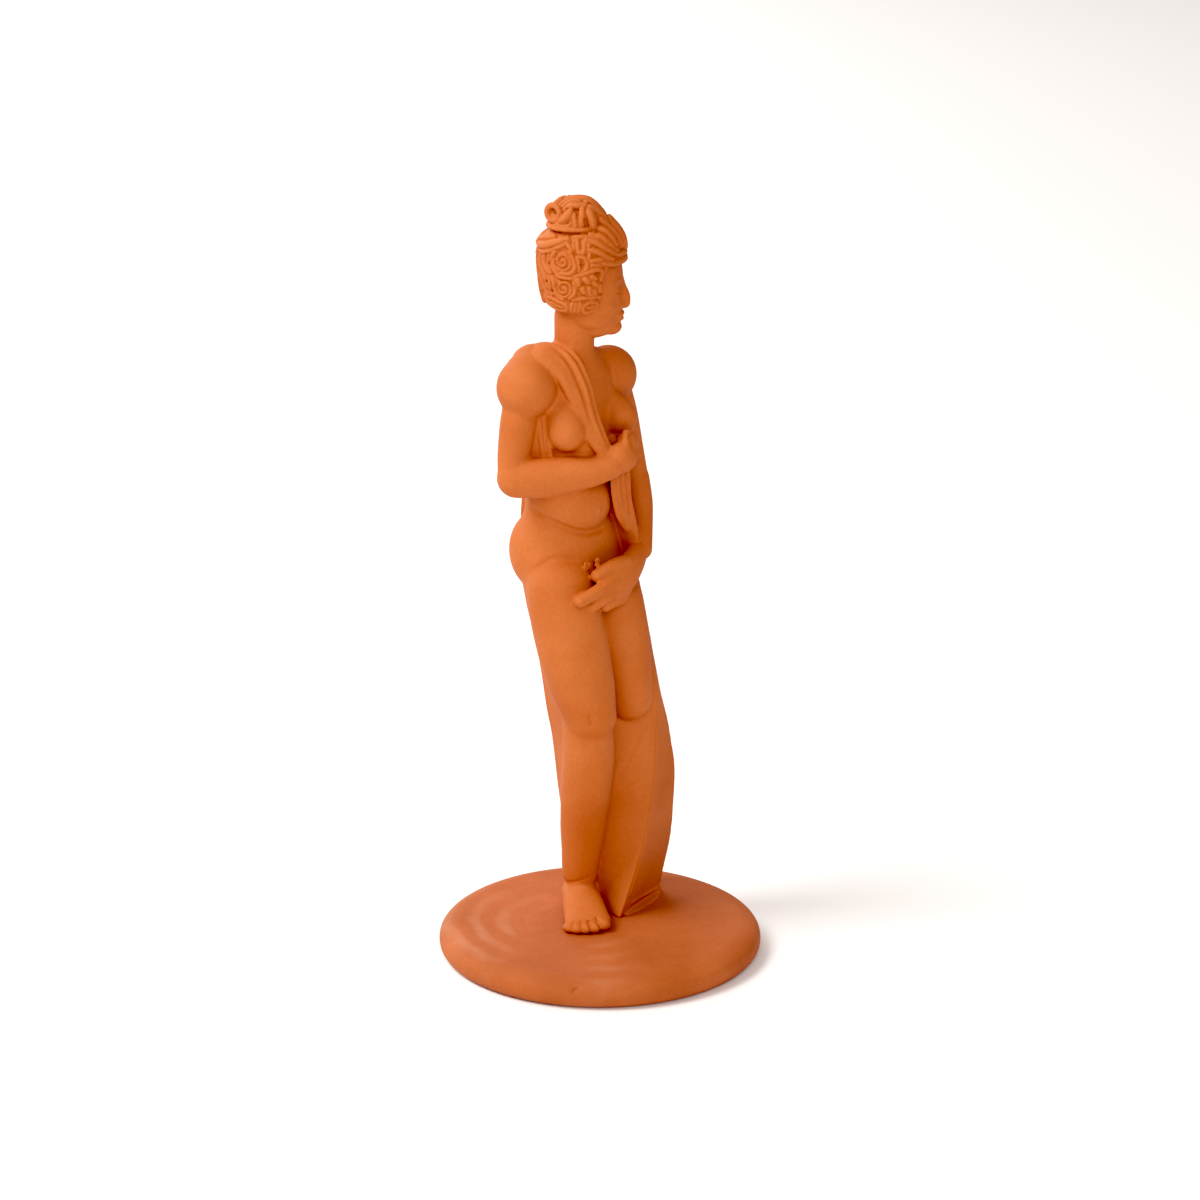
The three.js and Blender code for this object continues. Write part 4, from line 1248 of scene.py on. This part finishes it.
@dataclass
class Statuette:
    """The whole figure: one piece of clay, fused, softened, marked and thinned."""

    finish: Terracotta
    trunk: Trunk = field(default_factory=Trunk)
    limbs: Limbs = field(default_factory=Limbs)
    hands: Hands = field(default_factory=Hands)
    drapery: Drapery = field(default_factory=Drapery)
    head: Head = field(default_factory=Head)
    trunk_grain: float = 0.5
    limb_grain: float = 0.4
    cloth_grain: float = 0.3
    cloth_softening: int = 3
    softening: int = 1
    hand_waver: float = 0.08
    waver_length: float = 7.0
    still_foot: float = 0.6
    mark_step: float = 0.15
    mark_reach: float = 3.0
    mark_fade: Place = (5.0, 0.25)
    batch: int = 4000
    parting_depth: float = 0.34
    parting_width: float = 0.3
    parting_reach: float = 0.6
    parting_below: float = 2.0
    evening: float = 0.35
    sunk: float = 0.15
    navel: Point = (0.0, 0.6, 130.8)
    navel_radius: float = 0.9
    marks: tuple[Mark, ...] = (
        Mark((
            (-13.4, 14, 130.8), (-13.1, 11.1, 130), (-11.6, 7.4, 128.4), (-5.4, 3.8, 125),
            (-0.8, 3.2, 123.9), (3, 3.3, 123.8), (7.1, 4.5, 124.4),
        ), 1, 0.9),
        Mark(((-19.9, 9.9, 159.6), (-16.8, 8.6, 158.4), (-13.6, 8.6, 158.2), (-11, 8.8, 158.8)), 0.5, 0.3),
        Mark(((-14.5, 10.9, 114), (-12.7, 8.4, 116.6), (-10.2, 6.1, 117.8), (-6.2, 3.5, 116.6)), 0.9, 0.35),
        Mark(((-8.4, -4.8, 73.9), (-8.2, -4.9, 72.2), (-7.5, -4.8, 70.4)), 0.35, 0.4),
        Mark(((-7.3, -1.8, 63.8), (-7, -2, 62.6), (-6.5, -2.1, 61.6)), 0.4, 0.2),
        Mark(((-5.6, -4.4, 12), (-6.1, -6, 11.2), (-6.4, -8, 9.4)), 0.36, 0.55),
        Mark(((-8.2, -4, 11.6), (-8.7, -5.2, 10.9), (-9.2, -7, 9.2)), 0.34, 0.5),
        Mark(((-10.1, -2.8, 11.4), (-10.7, -4, 10.6), (-11.4, -5.4, 9.2)), 0.34, 0.45),
        Mark(((-11.6, -1.2, 11.2), (-12.3, -2.2, 10.4), (-13.4, -3.2, 9.2)), 0.32, 0.4),
        Mark((
            (-2.9, 13.4, 17.2), (-3.9, 9.4, 17.6), (-3.4, 7.1, 18.2), (-1.2, 4.6, 19.2), (1.6, 3.4, 20.2),
        ), 0.4, 0.25),
        Mark(((5.9, -5.4, 151.6), (7, -5, 152.6), (8.2, -4.4, 153.4)), 0.35, 0.7),
        Mark(((8.6, 2.4, 47), (11.6, 1.2, 53), (15.4, 0.4, 59.5), (19.2, 0.6, 65.5)), 1.1, 0.5),
    )

    def build(self, detail: Detail) -> bpy.types.Object:
        """Models the figure.

        Args:
            detail: How finely the clay is worked.

        Returns:
            The finished object, in metres.
        """
        voxel, kept = detail.value
        clay = self.limbs.model(self.trunk.model(self.trunk_grain), self.limb_grain)
        LOG.info("body fused")
        clay.egg(self.navel, (self.navel_radius,) * 3)
        self.hands.model(clay)
        self.drapery.model(clay)
        clay.clamp(DISC_HEIGHT - self.sunk)
        clay.fuse(max(voxel, self.cloth_grain), self.cloth_softening)
        LOG.info("hands and cloth fused")
        self.head.model(clay, voxel)
        clay.fuse(voxel, self.softening)
        piece = placed("terracotta_figure", clay.forms[0])
        LOG.info("figure: %d faces before it is marked", len(piece.data.polygons))
        self._work(piece)
        self._thin(piece, kept)
        self.finish.dress(piece)
        LOG.info("figure: %d triangles", sum(len(face.vertices) - 2 for face in piece.data.polygons))
        return piece

    def _work(self, piece: bpy.types.Object) -> None:
        """Gives the skin a hand's slight waver, and presses the marks into it.

        Args:
            piece: The object to mark.
        """
        mesh = piece.data
        places, normals = np.empty((2, len(mesh.vertices) * 3), dtype=np.float32)
        mesh.vertices.foreach_get("co", places)
        mesh.vertex_normals.foreach_get("vector", normals)
        places, normals = places.reshape(-1, 3), normals.reshape(-1, 3)
        waver = np.array([noise.noise(Vector(place) / self.waver_length) for place in places])
        waver[places[:, 2] < DISC_HEIGHT + self.still_foot] = 0.0
        moved = places + normals * (waver * self.hand_waver)[:, None]
        tree = BVHTree.FromObject(piece, bpy.context.evaluated_depsgraph_get())
        for mark in (*self.marks, *self.head.marks()):
            moved -= normals * self._pressed(mark, places, tree)[:, None]
        moved -= normals * self._parted(places)[:, None]
        mesh.vertices.foreach_set("co", moved.astype(np.float32).ravel())
        mesh.update()

    def _pressed(self, mark: Mark, places: np.ndarray, tree: BVHTree) -> np.ndarray:
        """Works out how deep a mark goes at every vertex.

        Args:
            mark: The mark.
            places: The vertices' places.
            tree: The skin, to lay the mark's line on.

        Returns:
            The depth at each vertex.
        """
        line = SmoothLine(list(mark.points))
        steps = max(2, round(span(mark.points) / self.mark_step))
        laid = np.array([tree.find_nearest(Vector(line.at(step / steps)))[0] for step in range(steps + 1)])
        reach = self.mark_reach * mark.width
        low, high = laid.min(axis=0) - reach, laid.max(axis=0) + reach
        near = np.flatnonzero(np.all((places > low) & (places < high), axis=1))
        depth = np.zeros(len(places))
        slope, least = self.mark_fade
        for begin in range(0, near.size, self.batch):
            some = near[begin:begin + self.batch]
            gaps = np.linalg.norm(places[some, None, :] - laid[None, :, :], axis=2)
            share = np.argmin(gaps, axis=1) / steps
            fade = np.clip(slope * np.minimum(share, 1.0 - share) + least, 0.0, 1.0)
            depth[some] = mark.depth * fade * np.exp(-((np.min(gaps, axis=1) / mark.width) ** 2))
        return depth

    def _parted(self, places: np.ndarray) -> np.ndarray:
        """Works out how deep the grooves between the strands of hair go at every vertex.

        Args:
            places: The vertices' places.

        Returns:
            The depth at each vertex.
        """
        lines = self.head.lines
        points = np.concatenate([line for line, _ in lines])
        centre = points.mean(axis=0)
        points = points - centre
        firsts = np.cumsum([0] + [len(line) for line, _ in lines[:-1]])
        radii = np.array([radius for _, radius in lines], dtype=np.float32)
        near = np.flatnonzero(places[:, 2] > points[:, 2].min() + centre[2] - self.parting_below)
        depth = np.zeros(len(places))
        for begin in range(0, near.size, self.batch):
            some = near[begin:begin + self.batch]
            here = places[some] - centre
            squares = (here**2).sum(axis=1)[:, None] + (points**2).sum(axis=1)[None] - 2.0 * here @ points.T
            gaps = np.sqrt(np.maximum(np.minimum.reduceat(squares, firsts, axis=1), 0.0)) - radii
            nearest = np.partition(gaps, 1, axis=1)[:, :2]
            level = np.exp(-(((nearest[:, 1] - nearest[:, 0]) / self.parting_width) ** 2))
            close = np.exp(-((np.maximum(nearest[:, 1], 0.0) / self.parting_reach) ** 2))
            depth[some] = self.parting_depth * level * close
        return depth

    def _thin(self, piece: bpy.types.Object, kept: int) -> None:
        """Thins the skin to the triangles that are kept, and drops any bubble inside it.

        Args:
            piece: The object to thin.
            kept: The number of triangles to keep.
        """
        even = piece.modifiers.new("even", "SMOOTH")
        even.factor = self.evening
        even.iterations = 1
        thin = piece.modifiers.new("thin", "DECIMATE")
        rough = piece.data
        triangles = 2 * len(rough.polygons)
        thin.ratio = min(1.0, kept / triangles)
        piece.data = finished(piece)
        piece.modifiers.clear()
        bpy.data.meshes.remove(rough)
        skin = bmesh.new()
        skin.from_mesh(piece.data)
        shells = self._shells(skin)
        largest = max(shells, key=len)
        loose = [vert for shell in shells if shell is not largest for vert in shell]
        bmesh.ops.delete(skin, geom=loose, context="VERTS")
        bmesh.ops.recalc_face_normals(skin, faces=skin.faces)
        skin.to_mesh(piece.data)
        skin.free()

    def _shells(self, skin: bmesh.types.BMesh) -> list[list[bmesh.types.BMVert]]:
        """Sorts a mesh's vertices into the shells that they belong to.

        Args:
            skin: The mesh.

        Returns:
            The vertices of each shell.
        """
        unseen = set(skin.verts)
        shells = []
        while unseen:
            shell = [unseen.pop()]
            for vert in shell:
                for link in vert.link_edges:
                    other = link.other_vert(vert)
                    if other in unseen:
                        unseen.discard(other)
                        shell.append(other)
            shells.append(shell)
        return shells


@dataclass
class TurnedDisc:
    """The wheel-turned disc that she stands on."""

    finish: Terracotta
    radius: float = 46.0
    height: float = DISC_HEIGHT
    flat_radius: float = 40.0
    belly_height: float = 3.4
    foot_radius: float = 42.6
    under_radius: float = 20.0
    foot_pull: float = 0.4
    rim_pull: float = 0.6
    curve_steps: int = 14
    ring_step: float = 0.5
    ring_depth: float = 0.02
    ring_waves: float = 2.1
    weld: float = 0.001
    steps: int = 540
    nicks: Line = ((-35.5, -28.3, 5.5), (-34.7, -28.9, 5.9))
    nick_reach: float = 0.5
    nick_depth: float = 0.9

    def build(self) -> bpy.types.Object:
        """Spins the disc's section about its axis.

        Returns:
            The finished object, in metres.
        """
        disc = bmesh.new()
        foot, belly = (self.foot_radius, 0.0), (self.radius, self.belly_height)
        rim = (self.radius, self.height - self.rim_pull)
        section = [(0.0, 0.0), (self.under_radius, 0.0), foot]
        section += self._curve(foot, (self.radius, self.foot_pull), belly)
        section += self._curve(belly, rim, (self.flat_radius, self.height))
        for step in range(1, round(self.flat_radius / self.ring_step)):
            reach = self.flat_radius - step * self.ring_step
            section.append((reach, self.height - self._ring(reach)))
        section.append((0.0, self.height))
        verts = [disc.verts.new((reach, 0.0, height)) for reach, height in section]
        edges = [disc.edges.new(pair) for pair in zip(verts, verts[1:])]
        bmesh.ops.spin(
            disc, geom=verts + edges, cent=(0.0, 0.0, 0.0), axis=(0.0, 0.0, 1.0),
            angle=math.tau, steps=self.steps, use_merge=True, use_duplicate=False,
        )
        bmesh.ops.remove_doubles(disc, verts=disc.verts, dist=self.weld)
        bmesh.ops.recalc_face_normals(disc, faces=disc.faces)
        for nick in self.nicks:
            for vert in disc.verts:
                near = math.exp(-(((vert.co - Vector(nick)).length / self.nick_reach) ** 2))
                vert.co.xy *= 1.0 - self.nick_depth * near / self.radius
        piece = placed("terracotta_disc", meshed("terracotta_disc", disc))
        self.finish.dress(piece)
        LOG.info("disc: %d faces", len(piece.data.polygons))
        return piece

    def _curve(self, begin: Place, pull: Place, end: Place) -> list[Place]:
        """Lays out a quadratic curve, without its first point.

        Args:
            begin: Where it starts.
            pull: The point that it is drawn to.
            end: Where it ends.

        Returns:
            The curve's points.
        """
        shares = [step / self.curve_steps for step in range(1, self.curve_steps + 1)]
        return [
            tuple((1 - t) ** 2 * a + 2 * t * (1 - t) * b + t**2 * c for a, b, c in zip(begin, pull, end))
            for t in shares
        ]

    def _ring(self, reach: float) -> float:
        """Gives the depth of the faint turning rings at a distance from the axis."""
        return self.ring_depth * (1.0 + math.sin(reach * self.ring_waves)) / 2


@dataclass(frozen=True)
class Softbox:
    """A square light: its place and the length of its side in metres, and its power in watts."""

    name: str
    at: Point
    size: float
    power: float


@dataclass
class Studio:
    """A pale floor, soft light and the camera. Lengths are in metres, lens and sensor in millimetres."""

    azimuth: float = -42.0
    elevation: float = 18.45
    distance: float = 1.2
    target: Point = (0.0, 0.0, 0.1047)
    lens: float = 128.88
    sensor: float = 36.0
    nearest: float = 0.01
    black: Point = (0.04, 0.052, 0.042)
    sky: Colour = (1.0, 0.9, 0.82, 1.0)
    sky_strength: float = 0.47
    floor_reach: float = 6.0
    floor_colour: Colour = (0.93, 0.93, 0.93, 1.0)
    floor_roughness: float = 0.7
    lamps: tuple[Softbox, ...] = (
        Softbox("key", at=(-0.94, 0.45, 1.3), size=0.7, power=19.5),
        Softbox("front", at=(-0.72, -1.1, 0.9), size=0.8, power=11.0),
        Softbox("back", at=(0.3, 1.6, 0.9), size=1.6, power=20.0),
    )

    def build(self) -> None:
        """Sets up the floor, the lights and the camera."""
        scene = bpy.context.scene
        scene.view_settings.view_transform = "Standard"
        scene.view_settings.use_curve_mapping = True
        scene.view_settings.curve_mapping.black_level = self.black
        scene.view_settings.curve_mapping.update()
        world = bpy.data.worlds.new("soft_daylight")
        world.use_nodes = True
        sky = world.node_tree.nodes["Background"]
        sky.inputs["Color"].default_value = self.sky
        sky.inputs["Strength"].default_value = self.sky_strength
        scene.world = world
        self._floor()
        for softbox in self.lamps:
            self._lamp(softbox)
        self._camera(scene)

    def _floor(self) -> None:
        """Adds the pale floor."""
        slab = bmesh.new()
        bmesh.ops.create_grid(slab, x_segments=1, y_segments=1, size=self.floor_reach)
        floor = placed("floor", meshed("floor", slab))
        paint = bpy.data.materials.new("pale_floor")
        paint.use_nodes = True
        shader = paint.node_tree.nodes["Principled BSDF"]
        shader.inputs["Base Color"].default_value = self.floor_colour
        shader.inputs["Roughness"].default_value = self.floor_roughness
        floor.data.materials.append(paint)

    def _lamp(self, softbox: Softbox) -> None:
        """Adds one square light that faces the figure.

        Args:
            softbox: The light.
        """
        light = bpy.data.lights.new(softbox.name, "AREA")
        light.energy = softbox.power
        light.size = softbox.size
        lamp = placed(softbox.name, light)
        lamp.location = softbox.at
        lamp.rotation_euler = (Vector(self.target) - Vector(softbox.at)).to_track_quat("-Z", "Y").to_euler()

    def _camera(self, scene: bpy.types.Scene) -> None:
        """Adds the camera at the photograph's viewing angle.

        Args:
            scene: The scene that looks through it.
        """
        turn, lift = math.radians(self.azimuth), math.radians(self.elevation)
        away = Vector((math.sin(turn) * math.cos(lift), -math.cos(turn) * math.cos(lift), math.sin(lift)))
        data = bpy.data.cameras.new("camera")
        data.lens = self.lens
        data.sensor_width = self.sensor
        data.clip_start = self.nearest
        camera = placed("camera", data)
        camera.location = Vector(self.target) + away * self.distance
        camera.rotation_euler = (-away).to_track_quat("-Z", "Y").to_euler()
        scene.camera = camera


def main() -> None:
    """Builds the studio, the disc and the figure, and hands them to the frame."""
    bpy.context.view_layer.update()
    Studio().build()
    disc_clay = Terracotta(
        "disc_clay", light=(0.47, 0.138, 0.044, 1.0), deep=(0.37, 0.098, 0.024, 1.0), chalk=Chalk()
    )
    figure_clay = Terracotta("figure_clay", light=(0.54, 0.165, 0.047, 1.0), deep=(0.455, 0.122, 0.028, 1.0))
    disc = TurnedDisc(disc_clay).build()
    figure = Statuette(figure_clay).build(Detail.FINE)
    for piece, node, slot in ((disc, "base_disc", "disc_clay"), (figure, "figure", "figure_clay")):
        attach(piece, "root")
        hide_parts(node)
        LOG.info("%s stands for %s", piece.name, node)


if __name__ == "__main__":
    main()
